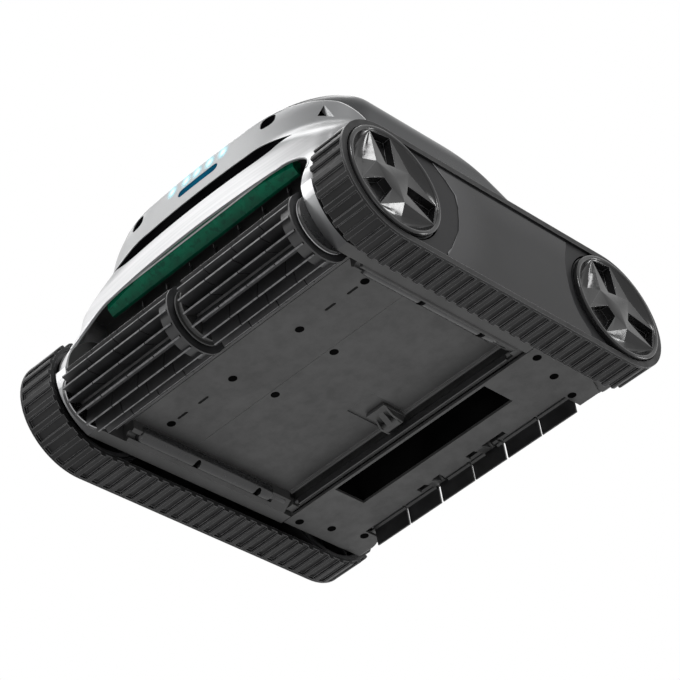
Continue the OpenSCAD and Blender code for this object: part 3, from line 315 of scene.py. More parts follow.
# Small lamps under the paint: a hot middle and a halo that fades to clear, by the nearest lamp's distance.
def glowMaterial():
    g = glow
    f = Finish("glowDot", (0.35, 0.75, 0.85), 0.4, Emission_Strength=0.8)
    x, z = f.axes()[::2]
    near = None
    for at in g["at"]:
        dx = x - at * mm
        dz = (z - g["z"] * mm) * 0.8
        d = dx * dx + dz * dz
        near = d if near is None else near.low(d)
    r = near.sqrt()
    f.feed("Emission Color", f.mix(r.ramp(0.0007, g["hot"], 1.0, 0.0), (0.50, 0.82, 0.93), (0.95, 1.0, 1.0)))
    f.feed("Base Color", f.mix(f.noise(900.0).ramp(0.3, 0.7), (0.25, 0.6, 0.7), (0.4, 0.8, 0.9)))
    f.feed("Alpha", r.ramp(0.0010, g["halo"], 0.8, 0.0))
    return f


# Green tinted window: cloudy, and brighter towards its upper edge by painted light.
def windowMaterial():
    f = Finish("windowGreen", (0.004, 0.14, 0.075), 0.3, Specular_IOR_Level=0.12)
    z = f.axes()[2]
    cloud = f.noise(45.0, 4.0, 0.6, 0.6)
    speck = f.noise(160.0, 3.0)
    # painted light: lighter towards the top, mixed with the cloudy tone
    litTopAndCloud = z.ramp(0.121, 0.135) * 0.75 + cloud.ramp(0.35, 0.65) * 0.25
    f.tone = f.mix(litTopAndCloud, (0.001, 0.085, 0.045), (0.003, 0.24, 0.125))
    f.feed("Base Color", f.mix(speck.ramp(0.35, 0.5, 0.55, 0.0), f.tone, (0.001, 0.045, 0.032)))
    f.feed("Roughness", cloud.ramp(0.3, 0.7, 0.14, 0.34))
    f.bump(cloud, 0.2, 0.0003)
    return f


# Silver paint: a painted reflection brightens the band between arch and slit, painted shade darkens the form
# towards its left shoulder, and a thin painted highlight follows the seam: y in straight runs of z, bent at
# 180 and 208 mm.
def fasciaMaterial():
    f = painted("fasciaPaint", **lookOf["fascia"])
    x, y, z = f.axes()
    bow = (x * x) * 2.2
    # painted reflection: the band between arch and slit is lighter
    reflectionBand = (z + bow * 0.25).ramp(0.172, 0.160)
    # painted shade: darker towards the left shoulder
    shoulderShade = (x + (z - 0.15) * 0.5).ramp(0.06, 0.165)
    stretched = f.node("ShaderNodeVectorMath", {"operation": "MULTIPLY"}, {0: f.place(), 1: (9, 60, 320)})
    brush = f.node("ShaderNodeTexNoise", {"noise_dimensions": "3D"},
                   {"Vector": stretched, "Scale": 1.0, "Detail": 3.0})
    upper = (z - 0.180).high(0.0) * -0.786 + (z - 0.208).high(0.0) * -0.541
    seamY = upper + (z * -1.0 + 0.180).high(0.0) * 0.4 - 0.104
    # painted highlight: a thin bright line along the seam
    line = (y - seamY).abs().ramp(0.0005, 0.0013, 1.0, 0.0)
    tone = f.mix(reflectionBand * (brush.ramp(0.3, 0.7) * 0.25 + 0.75), f.tone, (0.80, 0.80, 0.81))
    tone = f.mix(shoulderShade * 0.7, tone, (0.10, 0.102, 0.105))
    f.feed("Base Color", f.mix(line, tone, (0.9, 0.9, 0.9)))
    return f


mats = {
    "belt_rubber": moulded("beltRubber", **lookOf["belt"], grain=1800.0, depth=0.00006,
                           Specular_IOR_Level=0.18),
    "body_plastic": moulded("bodyPlastic", **lookOf["body"], grain=3000.0),
    "drum_plastic": moulded("drumPlastic", **lookOf["drum"]),
    "brush_rubber": brushMaterial(),
    "hub_gloss": moulded("hubGloss", **lookOf["cap"], grain=4000.0, depth=0.00001, Specular_IOR_Level=0.4),
    "panel_gloss": panelMaterial(),
    "guard_plastic": guardMaterial(),
    "fascia_paint": fasciaMaterial(),
    "cover_paint": painted("coverPaint", **lookOf["cover"], Specular_IOR_Level=0.3),
    "lens_black": moulded("lensBlack", (0.006, 0.006, 0.007), 0.10, grain=900.0, depth=0.000006,
                          Coat_Weight=0.5),
    "gear_nylon": moulded("gearNylon", **lookOf["nylon"]),
    "axle_steel": lathed("axleSteel", (0.55, 0.56, 0.57), 0.3),
    "bail_steel": lathed("bailSteel", (0.50, 0.50, 0.51), 0.28),
    "screw_steel": lathed("screwSteel", (0.06, 0.06, 0.062), 0.4),
    "motor_metal": lathed("motorMetal", (0.45, 0.46, 0.47), 0.42),
    "basket_mesh": moulded("basketPlastic", (0.30, 0.32, 0.34), 0.45),
    "impeller_blue": moulded("impellerPlastic", (0.10, 0.27, 0.33), 0.35),
    "cell_wrap": moulded("cellWrap", (0.07, 0.23, 0.40), 0.3),
    "light_blue": lightMaterial(),
    "window_green": windowMaterial(),
}
sideFrame = sideMaterial()
# Near-black with no specular, a painted shade: set on the inlet's deep parts, the filter bay, the pump
# housing, the rail slots' plugs and the screw pockets.
shadeBlack = moulded("shadePlastic", (0.003, 0.003, 0.003), 0.6, Specular_IOR_Level=0.0)
darkGlass = moulded("darkGlass", (0.002, 0.002, 0.0024), 0.4, Specular_IOR_Level=0.0)
# Glossy rail plastic with a painted highlight along its edges.
railPlastic = moulded("railPlastic", (0.020, 0.020, 0.021), 0.24, edge=0.0006, edgeColor=(0.10, 0.10, 0.10))
flapRubber = moulded("flapRubber", (0.010, 0.010, 0.0105), 0.45, grain=1500.0)
ownFinish = {
    "inlet_duct": shadeBlack,
    "inlet_flap": shadeBlack,
    "filter_bay": shadeBlack,
    "pump_housing": shadeBlack,
    "rear_flap": flapRubber,
    "inlet_lip": flapRubber,
    "side_frame_left": sideFrame,
    "side_frame_right": sideFrame,
}
print("materials made")

slotOf = {s["node"]: s["material_slot"] for s in frame["record"]["subparts"]}
for nodeName, obj in frame["nodes"].items():
    obj.data.materials.clear()
    obj.data.materials.append(ownFinish.get(nodeName, mats[slotOf[nodeName]]).m)
print("frame nodes dressed")


# Upper body form: the frame's own rounded shape, on fine grids.
form = dict(topZ=235.0, crownY=-40.0, rearY=217.0, rearZ=121.8, frontY=-204.0, frontZ=67.0, rake=0.318,
            bow=0.00047, rollZ=222.0, edgeR=31.0, halfWidth=162.6, lean=2.0, rearR=45.0, shell=2.8)


# Smooth step: three t squared less two t cubed, held between 0 and 1.
def ease(t):
    t = np.clip(t, 0.0, 1.0)
    return t * t * (3 - 2 * t)


# Front face on the middle plane: y grows by the rake for each mm of height up to rollZ, and above
# it a superellipse (powers 2.5 across, 0.4 back) rolls over to the crown.
def frontAt(z):
    f = form
    rollY = f["frontY"] + (f["rollZ"] - f["frontZ"]) * f["rake"]
    t = np.clip((z - f["rollZ"]) / (f["topZ"] - f["rollZ"]), 0, 1)
    rolled = f["crownY"] - (f["crownY"] - rollY) * (1 - t ** 2.5) ** 0.4
    return np.where(z <= f["rollZ"], f["frontY"] + (z - f["frontZ"]) * f["rake"], rolled)


# Fall of the back for each square mm of distance behind the crown.
def backFall():
    f = form
    return (f["topZ"] - f["rearZ"]) / (f["rearY"] - f["crownY"]) ** 2


# Height of the back: a parabola that falls from the crown to the rear edge.
def crownAt(y):
    return form["topZ"] - backFall() * (y - form["crownY"]) ** 2


# The same parabola read the other way, y for a height, and upright below the rear edge.
def rearAt(z):
    f = form
    back = f["crownY"] + np.sqrt(np.maximum(f["topZ"] - z, 0) / backFall())
    return np.where(z <= f["rearZ"], f["rearY"], back)


# Half width: leaning in a little from 150 to 210 mm of height, then a quarter circle at the top edge.
def widthAt(z):
    f = form
    r = f["edgeR"]
    lean = f["halfWidth"] - f["lean"] * ease((z - 150) / 60)
    up = np.maximum(z - (f["topZ"] - r), 0)
    rounded = lean - r + np.sqrt(np.maximum(r ** 2 - up ** 2, 0))
    return np.where(up > 0, rounded, lean)


# Bow of the front, per square mm of x: nearly flat at the foot, full 55 mm higher.
def bowAt(z):
    return form["bow"] * (0.06 + 0.94 * ease((z - form["frontZ"] - 8) / 55))


# Ring points (rows of height, columns round the plan), each row at one height. Half a ring is
# a front bowed as x squared, an elliptic front corner, a straight side, a quarter-round rear
# corner and a straight rear; the other half mirrors it. The inset shrinks towards the crown
# sideways and grows downwards there, so that the wall stays even.
def bodyGrid(levels, inset):
    z = levels[:, None]
    lift = ease((z - 196) / 34)
    i = inset * (1 - 0.7 * lift)
    w = widthAt(z) - i
    f = frontAt(z) + i
    b = rearAt(z) - i
    d = b - f
    bow = bowAt(z)
    c = 8 + 12 * ease((z - form["frontZ"]) / 55) + 77 * ease((z - 140) / 45)      # corner across
    c = np.minimum(c, w * 0.9)
    cy = np.minimum(c * 0.62, d * 0.46)                                          # corner along
    cr = np.minimum(np.minimum(form["rearR"], d * 0.46), w * 0.46)
    yc = f + bow * (w - c) ** 2 + cy
    side = np.maximum(b - cr, yc + 1)
    t = np.linspace(0, 1, 25)[None, :]
    x1 = (w - c) * t
    y1 = f + bow * ((w - c) * t) ** 2
    a = np.linspace(0, math.pi / 2, 29)[None, 1:]
    x2 = w - c + c * np.sin(a)
    y2 = yc - cy * np.cos(a)
    t = t[:, 1:]
    x3 = w + 0 * t
    y3 = yc + (side - yc) * t
    a = np.linspace(0, math.pi / 2, 17)[None, 1:]
    x4 = w - cr + cr * np.cos(a)
    y4 = side + cr * np.sin(a)
    t = np.linspace(0, 1, 9)[None, 1:]
    x5 = (w - cr) * (1 - t)
    y5 = side + cr + 0 * t
    x = np.concatenate([x1, x2, x3, x4, x5], 1)
    y = np.concatenate([y1, y2, y3, y4, y5], 1)
    x = np.concatenate([x, -x[:, -2:0:-1]], 1)
    y = np.concatenate([y, y[:, -2:0:-1]], 1)
    return np.stack([x, y, np.broadcast_to(z - inset * lift, x.shape)], -1)


# Quads between neighbouring rows of a grid that closes round its columns.
def ringFaces(rows, cols, start=0, flip=False):
    r = np.arange(rows - 1)[:, None] * cols
    c = np.arange(cols)[None, :]
    n = (c + 1) % cols
    q = np.stack([r + c, r + n, r + n + cols, r + c + cols], -1).reshape(-1, 4) + start
    return q[:, ::-1] if flip else q


# Points in mm and faces as lists of point numbers, made an object in metres.
def meshOf(name, points, faces, smooth=True):
    mesh = bpy.data.meshes.new(name)
    points = np.asarray(points, float).reshape(-1, 3) * mm
    mesh.from_pydata(points.tolist(), [], [list(map(int, f)) for f in faces])
    mesh.update()
    mesh.validate()
    mesh.polygons.foreach_set("use_smooth", np.full(len(mesh.polygons), smooth))
    obj = bpy.data.objects.new(name, mesh)
    bpy.context.scene.collection.objects.link(obj)
    return obj


# Outer and inner forms joined at the foot and capped at the crown: one closed shell.
def bodyShell(name, thick, start=0.0):
    levels = np.concatenate([[60.0], np.linspace(66, 135, 24), np.linspace(138, 208, 36),
                             np.linspace(210, 222, 9), np.linspace(222.6, 233, 26),
                             [233.5, 233.9, 234.3, 234.6, 234.8, 234.95]])
    outer, inner = bodyGrid(levels, start), bodyGrid(levels, thick)
    rows, cols = outer.shape[:2]
    n = rows * cols
    points = np.concatenate([outer.reshape(-1, 3), inner.reshape(-1, 3)])
    faces = [*ringFaces(rows, cols), *ringFaces(rows, cols, n, True)]
    k = np.arange(cols)
    j = (k + 1) % cols
    faces += [*np.stack([k, n + k, n + j, j], -1)]
    faces += [list(range(n - cols, n)), list(range(2 * n - cols, 2 * n))[::-1]]
    return meshOf(name, points, faces)


# A closed outline (u, v) carried straight from lo to hi along x, y or z; (u, v) are the other two axes.
def prism(name, outline, lo, hi, along):
    o = np.asarray(outline, float)
    area = 0.5 * np.sum(o[:, 0] * np.roll(o[:, 1], -1) - np.roll(o[:, 0], -1) * o[:, 1])
    if area < 0:
        o = o[::-1]
    n = len(o)
    column = "xyz".index(along)
    ends = (hi, lo) if along == "y" else (lo, hi)      # keeps the faces outwards
    a, b = [np.insert(o, column, end, axis=1) for end in ends]
    k = np.arange(n)
    j = (k + 1) % n
    faces = [*np.stack([k, j, n + j, n + k], -1), list(range(n))[::-1], list(range(n, 2 * n))]
    return meshOf(name, np.concatenate([a, b]), faces, False)


# Points on a circle about (cx, cy) from angle a0 to a1, in degrees.
def arc(cx, cy, r, a0, a1, n):
    a = np.radians(np.linspace(a0, a1, n))
    return np.stack([cx + r * np.cos(a), cy + r * np.sin(a)], 1)


# A whole circle of n points.
def circle(cx, cy, r, n):
    return arc(cx, cy, r, 0, 360 - 360 / n, n)


# Boolean with a throw-away tool, its result applied.
def cut(target, tool, kind="DIFFERENCE"):
    m = target.modifiers.new("cut", "BOOLEAN")
    m.operation, m.object, m.solver = kind, tool, "MANIFOLD"
    dg = bpy.context.evaluated_depsgraph_get()
    done = bpy.data.meshes.new_from_object(target.evaluated_get(dg))
    target.modifiers.clear()
    old = target.data
    target.data = done
    bpy.data.meshes.remove(old)
    bpy.data.objects.remove(tool)
    return target


# Smooth shading except over real edges.
def softEdges(obj, angle=32):
    mesh = obj.data
    mesh.polygons.foreach_set("use_smooth", np.full(len(mesh.polygons), True))
    mesh.set_sharp_from_angle(angle=math.radians(angle))


# Gives a piece its finish (the slot's material when none is given) and the body it rides on, and hides the
# frame nodes that it replaces.
def place(obj, body, slot, finish=None, nodes=()):
    obj.data.materials.clear()
    obj.data.materials.append((finish or mats[slot]).m)
    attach(obj, body)
    if nodes:
        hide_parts(*nodes)
    return obj


seam = dict(y=-118.0, gap=0.3)


# Parting line between fascia and cover in (y, z), from above the crown down to the side's foot.
def seamLine(offset):
    y = seam["y"] + offset
    return [(y - 77, 260), (y - 8, 208), (y + 14, 180), (y + 26, 150), (y + 30, 119.2)]


arch = dict(half=150.0, top=130.0, r=38.0)


# Upright sides, two quarter-round shoulders and a flat top.
def archOutline(grow=0.0):
    h = arch["half"] + grow
    r = arch["r"] + grow
    zc = arch["top"] - arch["r"]
    left = arc(h - r, zc, r, 0, 90, 25)
    right = arc(r - h, zc, r, 90, 180, 25)
    return np.concatenate([[(h, 40)], left, right, [(-h, 40)]])


slit = dict(half=118.0, flat=72.0, low=163.5, high=183.0, tipZ=171.0, tip=0.3)


# A long lens: straight in its middle, then its top and bottom run to the tip by powers 1.6 and 2.2.
def slitOutline(grow=0.0):
    s = slit
    x = np.linspace(-1, 1, 41) * (s["half"] + grow)
    u = np.clip((np.abs(x) - s["flat"]) / (s["half"] + grow - s["flat"]), 0, 1)
    high = s["high"] + grow
    low = s["low"] - grow
    top = high + (s["tipZ"] + s["tip"] - high) * u ** 1.6
    foot = low + (s["tipZ"] - s["tip"] - low) * u ** 2.2
    return np.concatenate([np.stack([x, top], 1), np.stack([x, foot], 1)[::-1]])


bar = dict(half=26.0, z=203.6, r=5.0)
eye = dict(x=86.0, z=215.2, w=8.4, h=7.4)


# Two half circles joined by straight runs.
def barOutline(grow):
    b = bar
    r = b["r"] + grow
    end = b["half"] - b["r"]
    return np.concatenate([arc(end, b["z"], r, -90, 90, 13), arc(-end, b["z"], r, 90, 270, 13)])


# A superellipse: cosine and sine to the power 0.7, with their signs kept.
def eyeOutline(s, grow):
    e = eye
    a = np.radians(np.linspace(0, 350, 36))
    c, d = [np.sign(v) * np.abs(v) ** 0.7 for v in (np.cos(a), np.sin(a))]
    return np.stack([s * e["x"] + (e["w"] + grow) * c, e["z"] + (e["h"] + grow) * d], 1)


# name, outline, depth of its face and of its back below the front, finish, slot, node
glass = [("slitGlass", slitOutline(0.9), 0.9, 2.2, darkGlass, "lens_black", "lens_strip"),
         ("barGlass", barOutline(0.15), 0.35, 1.6, None, "light_blue", "light_bar"),
         ("eyeGlass.right", eyeOutline(-1, 0.3), 1.0, 2.0, darkGlass, "lens_black", "front_sensors"),
         ("eyeGlass.left", eyeOutline(1, 0.3), 1.0, 2.0, darkGlass, "lens_black", "front_sensors")]


# Dark glass set just under the front face: slit, bar and two eyes share the body's form.
def makeGlass():
    for name, outline, face, back, finish, slot, node in glass:
        obj = bodyShell(name, back, face)
        cut(obj, prism("glassTool", outline, -260, -125, "y"), "INTERSECT")
        softEdges(obj, 40)
        place(obj, "base", slot, finish, [node])


fascia = dict(footZ=67.0, archR=53.2, pillarR=56.6, pillarTop=66.7, pillarLow=50.0, pillarX=(150.0, 162.6),
              notch=[(-143.5, 191.0), (-135.9, 205.5), (-135.5, 185.0)], notchX=(100.0, 175.0))


def makeFascia():
    f = fascia
    y, z = -axis["wheelY"], axis["wheelZ"]
    sideZ = seamLine(0)[-1][1]
    obj = bodyShell("fasciaShell", form["shell"])
    keep = [(-240, f["footZ"]), (-240, 260), *seamLine(0), (y, sideZ), (y, f["footZ"])]
    cut(obj, prism("keep", keep, -200, 200, "x"), "INTERSECT")
    cut(obj, prism("round", circle(y, z, f["archR"], 144), -200, 200, "x"))
    cut(obj, prism("archTool", archOutline(), -260, -100, "y"))
    cut(obj, prism("slitTool", slitOutline(), -260, -100, "y"))
    cut(obj, prism("barTool", barOutline(0), -260, -140, "y"))
    for s in (-1, 1):
        cut(obj, prism("eye", eyeOutline(s, 0), -260, -100, "y"))
        cut(obj, prism("notchTool", f["notch"], *sorted(s * x for x in f["notchX"]), "x"))
    softEdges(obj, 28)
    place(obj, "base", "fascia_paint", nodes=["fascia"])
    # pillars below the foot: a ring's part round the wheel's axis, carried along x
    a0 = 180 - math.degrees(math.asin((f["pillarTop"] - z) / f["pillarR"]))
    a1 = 180 + math.degrees(math.asin((z - f["pillarLow"]) / f["pillarR"]))
    ring = np.concatenate([arc(y, z, f["pillarR"], a0, a1, 20), arc(y, z, f["archR"], a1, a0, 20)])
    for s, side in ((1, "left"), (-1, "right")):
        p = prism("pillar." + side, ring, *sorted(s * x for x in f["pillarX"]), "x")
        softEdges(p, 40)
        place(p, "base", "fascia_paint")


# An upright box that reaches through the crown.
def crownBox(name, x0, x1, y0, y1, z0=150, z1=260):
    return prism(name, [(x0, y0), (x1, y0), (x1, y1), (x0, y1)], z0, z1, "z")


cover = dict(lidX=105.0, lidY0=-106.0, lidY1=44.0, gap=0.5, outletY=105.0, outletR=38.0)
hinge = dict(y=47.4, x=72.0, barrelR=3.0, pinR=1.6, boreR=1.9, barrel=11.7, slot=12.0, ear=14.0)
button = dict(y=-124.0, cupR=13.0, pocketR=11.0, holeR=9.5)
port = dict(x=121.0, y=-57.0, half=(9.0, 13.0), deep=2.2, pinR=0.7, pinY=-11.0, pinDown=0.6)
grip = dict(x=62.0, half=5.0, y=(162.0, 176.0))                # feet of the carry handle
latch = dict(half=20.0, y=(-91.5, -88.5), z=(215.5, 233.0))     # tab under the lid


# Round bore of radius r on the outlet's axis, square to the crown at the outlet.
def outletBore(name, r, lo, hi):
    y = cover["outletY"]
    slope = 2 * backFall() * (y - form["crownY"])
    tool = prism(name, circle(0, 0, r, 96), lo, hi, "z")
    move = Matrix.Translation((0, y * mm, float(crownAt(y)) * mm))
    tool.data.transform(move @ Matrix.Rotation(-math.atan(slope), 4, "X"))
    return tool


# Rod of radius r along x on the lid's hinge line, half as long as given, about x.
def hingeRod(name, x, r, half):
    h = hinge
    return prism(name, circle(h["y"], float(crownAt(h["y"])), r, 24), x - half, x + half, "x")


def makeCover():
    c, h, b, p, g = cover, hinge, button, port, grip
    obj = bodyShell("coverShell", form["shell"])
    line = seamLine(seam["gap"])
    keep = [(300, line[-1][1]), (300, 260), *line]
    cut(obj, prism("keep", keep, -200, 200, "x"), "INTERSECT")
    cut(obj, prism("cup", circle(0, b["y"], b["cupR"], 48), 216, 229, "z"), "UNION")
    for s in (-1, 1):
        for e in (-h["ear"], h["ear"]):
            cut(obj, hingeRod("ear", s * h["x"] + e, h["barrelR"], 2), "UNION")
    cut(obj, crownBox("lidTool", -c["lidX"], c["lidX"], c["lidY0"], c["lidY1"]))
    for s in (-1, 1):
        x = s * h["x"]
        cut(obj, crownBox("slot", x - h["slot"], x + h["slot"], c["lidY1"] - 1, h["y"] + 4.2))
        cut(obj, crownBox("foot", s * g["x"] - g["half"], s * g["x"] + g["half"], *g["y"], 120))
    portZ = float(crownAt(p["y"]))
    w, d = p["half"]
    cut(obj, crownBox("port", p["x"] - w, p["x"] + w, p["y"] - d, p["y"] + d, portZ - p["deep"], 260))
    cut(obj, outletBore("outlet", c["outletR"], -20, 20))
    cut(obj, prism("pocket", circle(0, b["y"], b["pocketR"], 48), 218, 227, "z"))
    cut(obj, prism("button", circle(0, b["y"], b["holeR"], 48), 220, 260, "z"))
    for s in (-1, 1):
        cut(obj, hingeRod("pin", s * h["x"], h["pinR"], h["slot"] + 0.5), "UNION")
    pin = circle(p["y"] + p["pinY"], portZ - p["pinDown"], p["pinR"], 16)
    cut(obj, prism("portPin", pin, p["x"] - w - 0.5, p["x"] + w + 0.5, "x"), "UNION")
    softEdges(obj, 30)
    place(obj, "base", "cover_paint", nodes=["top_cover"])


def makeLid():
    c, h, t = cover, hinge, latch
    g = c["gap"]
    obj = bodyShell("lidShell", form["shell"])
    box = crownBox("lidTool", g - c["lidX"], c["lidX"] - g, c["lidY0"] + g, c["lidY1"] - g)
    cut(obj, box, "INTERSECT")
    z = float(crownAt(h["y"]))
    y = c["lidY1"] - 5
    web = [(y, z - 1), (h["y"], z - 1), (h["y"], z + 1.2), (y, z + 1.2)]
    for s in (-1, 1):
        x = s * h["x"]
        cut(obj, prism("web", web, x - h["barrel"], x + h["barrel"], "x"), "UNION")
        cut(obj, hingeRod("barrel", x, h["barrelR"], h["barrel"]), "UNION")
        cut(obj, hingeRod("bore", x, h["boreR"], h["slot"] + 1))
    tab = [(t["y"][0], t["z"][0]), (t["y"][1], t["z"][0]), (t["y"][1], t["z"][1]), (t["y"][0], t["z"][1])]
    cut(obj, prism("tab", tab, -t["half"], t["half"], "x"), "UNION")
    softEdges(obj, 30)
    place(obj, "lid", "cover_paint", nodes=["lid"])


# Radii, angles off an arm's axis and heights x of the star's corners, in mm and degrees.
star = dict(ringR=55.1, ringIn=50.6, ringX=208.2, peakR=24.5, peakX=208.2, midR=32.0, midX=202.6,
            tipR=50.0, tipAt=44.7, tipX=206.6, keyR=15.8, keyAt=37.7, keyX=206.8, bossX=208.3,
            endR=14.6, outR=48.2, floorX=198.6, wall=0.35, scoop=5.2, skirtR=51.4, skirtX=202.4,
            backX=194.2, turn=160.4)


# Hub cap as a polar grid. Its rows follow the star's own lines, so each facet stays flat:
# centre, inner star line, pocket side, ridge from peak to tip, chord from middle to tip, ring.
# Local axes of one arm: u outwards along it, v across it; every row is a straight line in (u, v, x).
def hubCap(name, side, y0, body, node):
    s = star
    phi = np.unique(np.concatenate([np.linspace(0, s["keyAt"], 16), [38.0], np.linspace(38.6, 44.4, 6),
                                    [s["tipAt"], 45.0], np.linspace(46, 60, 10)]))
    half = np.radians(phi)
    tipAt, keyAt = math.radians(s["tipAt"]), math.radians(s["keyAt"])
    peak = np.array([s["peakR"], 0, s["peakX"]])
    mid = np.array([s["midR"], 0, s["midX"]])
    tip = np.array([s["tipR"] * math.cos(tipAt), s["tipR"] * math.sin(tipAt), s["tipX"]])
    key = np.array([s["keyR"] * math.cos(keyAt), s["keyR"] * math.sin(keyAt), s["keyX"]])

    # Where the ray at each angle meets the line a-b: its radius, and the height there.
    def onLine(a, b):
        d = b - a
        t = (a[0] * np.sin(half) - a[1] * np.cos(half)) / (d[1] * np.cos(half) - d[0] * np.sin(half))
        t = np.clip(t, 0, 1)
        p = a[None] + t[:, None] * d[None]
        return np.hypot(p[:, 0], p[:, 1]), p[:, 2]

    early = phi <= s["keyAt"] + 0.15
    late = phi >= s["tipAt"] + 0.15
    across = np.cos(np.radians(60) - half)      # a line square to the next spoke, by its angle
    innerR, innerX = onLine(peak, key)
    innerR = np.where(early, innerR, s["endR"] / across)
    innerX = np.where(early, innerX, s["keyX"])
    sideR, sideX = onLine(key, tip)
    sideR = np.where(early, innerR, np.where(late, s["outR"] / across, sideR))
    sideX = np.where(early, innerX, np.where(late, s["tipX"], sideX))
    ridgeR, ridgeX = onLine(peak, tip)
    chordR, chordX = onLine(mid, tip)
    ridgeR = np.where(late, sideR, np.maximum(ridgeR, sideR))
    ridgeX = np.where(late, sideX, ridgeX)
    chordR = np.where(late, sideR, np.maximum(chordR, ridgeR))
    chordX = np.where(late, sideX, chordX)
    rows = [(0 * innerR, 0 * innerR + s["bossX"])]
    for t in (0.3, 0.55, 0.78, 0.93):      # domed boss: its fall grows as t to the 2.5
        rows.append((innerR * t, s["bossX"] + (innerX - s["bossX"]) * t ** 2.5))
    rows.append((innerR, innerX))
    wall = s["wall"]
    roomy = ~early & (sideR - innerR > 2 * wall + 0.1)      # where a pocket has room for its floor
    for edge in (innerR + wall, sideR - wall):
        rows.append((np.where(roomy, edge, innerR), np.where(roomy, s["floorX"], innerX)))
    rows.append((sideR, sideX))
    rows.append((ridgeR, ridgeX))
    for t in (0.5, 1.0):
        rows.append((ridgeR + (chordR - ridgeR) * t, ridgeX + (chordX - ridgeX) * t))
    width = np.clip((s["ringIn"] - chordR) / 18.0, 0, 1)
    for t in (0.1, 0.22, 0.36, 0.5, 0.64, 0.78, 0.9, 1.0):      # scooped by a sine between chord and ring
        x = chordX + (s["tipX"] - chordX) * t - s["scoop"] * width * np.sin(math.pi * t) ** 0.8
        rows.append((chordR + (s["ringIn"] - chordR) * t, x))
    mean = (s["ringR"] + s["ringIn"]) / 2
    w = (s["ringR"] - s["ringIn"]) / 2
    flat = [(mean - w * math.cos(a), s["tipX"] + (s["ringX"] - s["tipX"]) * math.sin(a))
            for a in np.radians(np.linspace(15, 180, 12))]      # half-round ring
    flat += [(s["ringR"], s["skirtX"] + 0.1), (s["skirtR"], s["skirtX"]),
             (s["skirtR"] - 0.1, s["backX"]), (0, s["backX"])]
    rows += [(u + 0 * half, v + 0 * half) for u, v in flat]
    r = np.array([p[0] for p in rows])
    x = np.array([p[1] for p in rows])
    # one arm mirrored about its axis, then three arms
    r = np.concatenate([r[:, ::-1][:, :-1], r[:, :-1]], 1)
    x = np.concatenate([x[:, ::-1][:, :-1], x[:, :-1]], 1)
    ang = np.concatenate([-phi[::-1][:-1], phi[:-1]])
    ang = np.concatenate([ang + s["turn"] + 120 * k for k in range(3)])
    r, x = np.tile(r, (1, 3)), np.tile(x, (1, 3))
    t = np.radians(ang)[None]
    pts = np.stack([side * x, y0 + r * np.cos(t), axis["wheelZ"] + r * np.sin(t)], -1)
    faces = ringFaces(r.shape[0], r.shape[1], 0, side < 0)
    obj = meshOf(name, pts, faces)
    mergeClose(obj)
    softEdges(obj, 14)
    place(obj, body, "hub_gloss", nodes=[node])


# Welds doubled points, drops faces without area and turns all faces outwards.
def mergeClose(obj):
    near = 1e-6
    bm = bmesh.new()
    bm.from_mesh(obj.data)
    bmesh.ops.remove_doubles(bm, verts=bm.verts, dist=near)
    bmesh.ops.dissolve_degenerate(bm, dist=near, edges=bm.edges)
    bmesh.ops.recalc_face_normals(bm, faces=bm.faces)
    bm.to_mesh(obj.data)
    bm.free()


# Clear strip lying just outside the front face, y being the front's with its bow; only its lamps show.
def makeGlow():
    g = glow
    x, z = np.meshgrid(np.linspace(g["x0"], g["x1"], 57), np.linspace(g["z0"], g["z1"], 17))
    y = frontAt(z) + form["bow"] * x * x - g["proud"]
    rows, cols = x.shape
    n = (np.arange(rows - 1)[:, None] * cols + np.arange(cols - 1)[None]).reshape(-1, 1)
    faces = n + np.array([[0, 1, cols + 1, cols]])
    obj = meshOf("glowStrip", np.stack([x, y, z], -1), faces)
    place(obj, "base", "light_blue", glowMaterial())


lip = dict(r=1.1, depth=0.8, out=0.9, sunk=0.2, footZ=66.5, sides=12)


# Bright half-round lip: an ellipse carried along the arch's outline on the bowed front face.
def makeLip():
    p = lip
    n = p["sides"]
    o = archOutline(p["out"])
    x, z = o[o[:, 1] > p["footZ"]].T
    mid = np.stack([x, frontAt(z) + bowAt(z) * x * x + p["sunk"], z], 1)
    d = np.gradient(mid, axis=0)
    d /= np.linalg.norm(d, axis=1)[:, None]
    out = np.cross(d, np.array([0, 1.0, 0]))
    out /= np.linalg.norm(out, axis=1)[:, None]
    fwd = np.cross(out, d)
    a = np.linspace(0, 2 * math.pi, n, endpoint=False)[None, :, None]
    ring = mid[:, None] + p["r"] * (np.cos(a) * out[:, None] + p["depth"] * np.sin(a) * fwd[:, None])
    faces = [*ringFaces(len(mid), n)]
    faces += [list(range(n))[::-1], list(range(n * (len(mid) - 1), n * len(mid)))]
    obj = meshOf("archLip", ring, faces)
    mergeClose(obj)
    softEdges(obj, 50)
    place(obj, "base", "fascia_paint")


ribs = dict(at=(-94.2, -62.6, -31.4, 0, 31.4, 62.6, 94.2), low=(123.5, 122.5, 128, 127.5, 127, 126.5, 125.5),
            y=-152.5, long=6.0, half=0.55, proud=0.5, sunk=0.3, topZ=131.5)


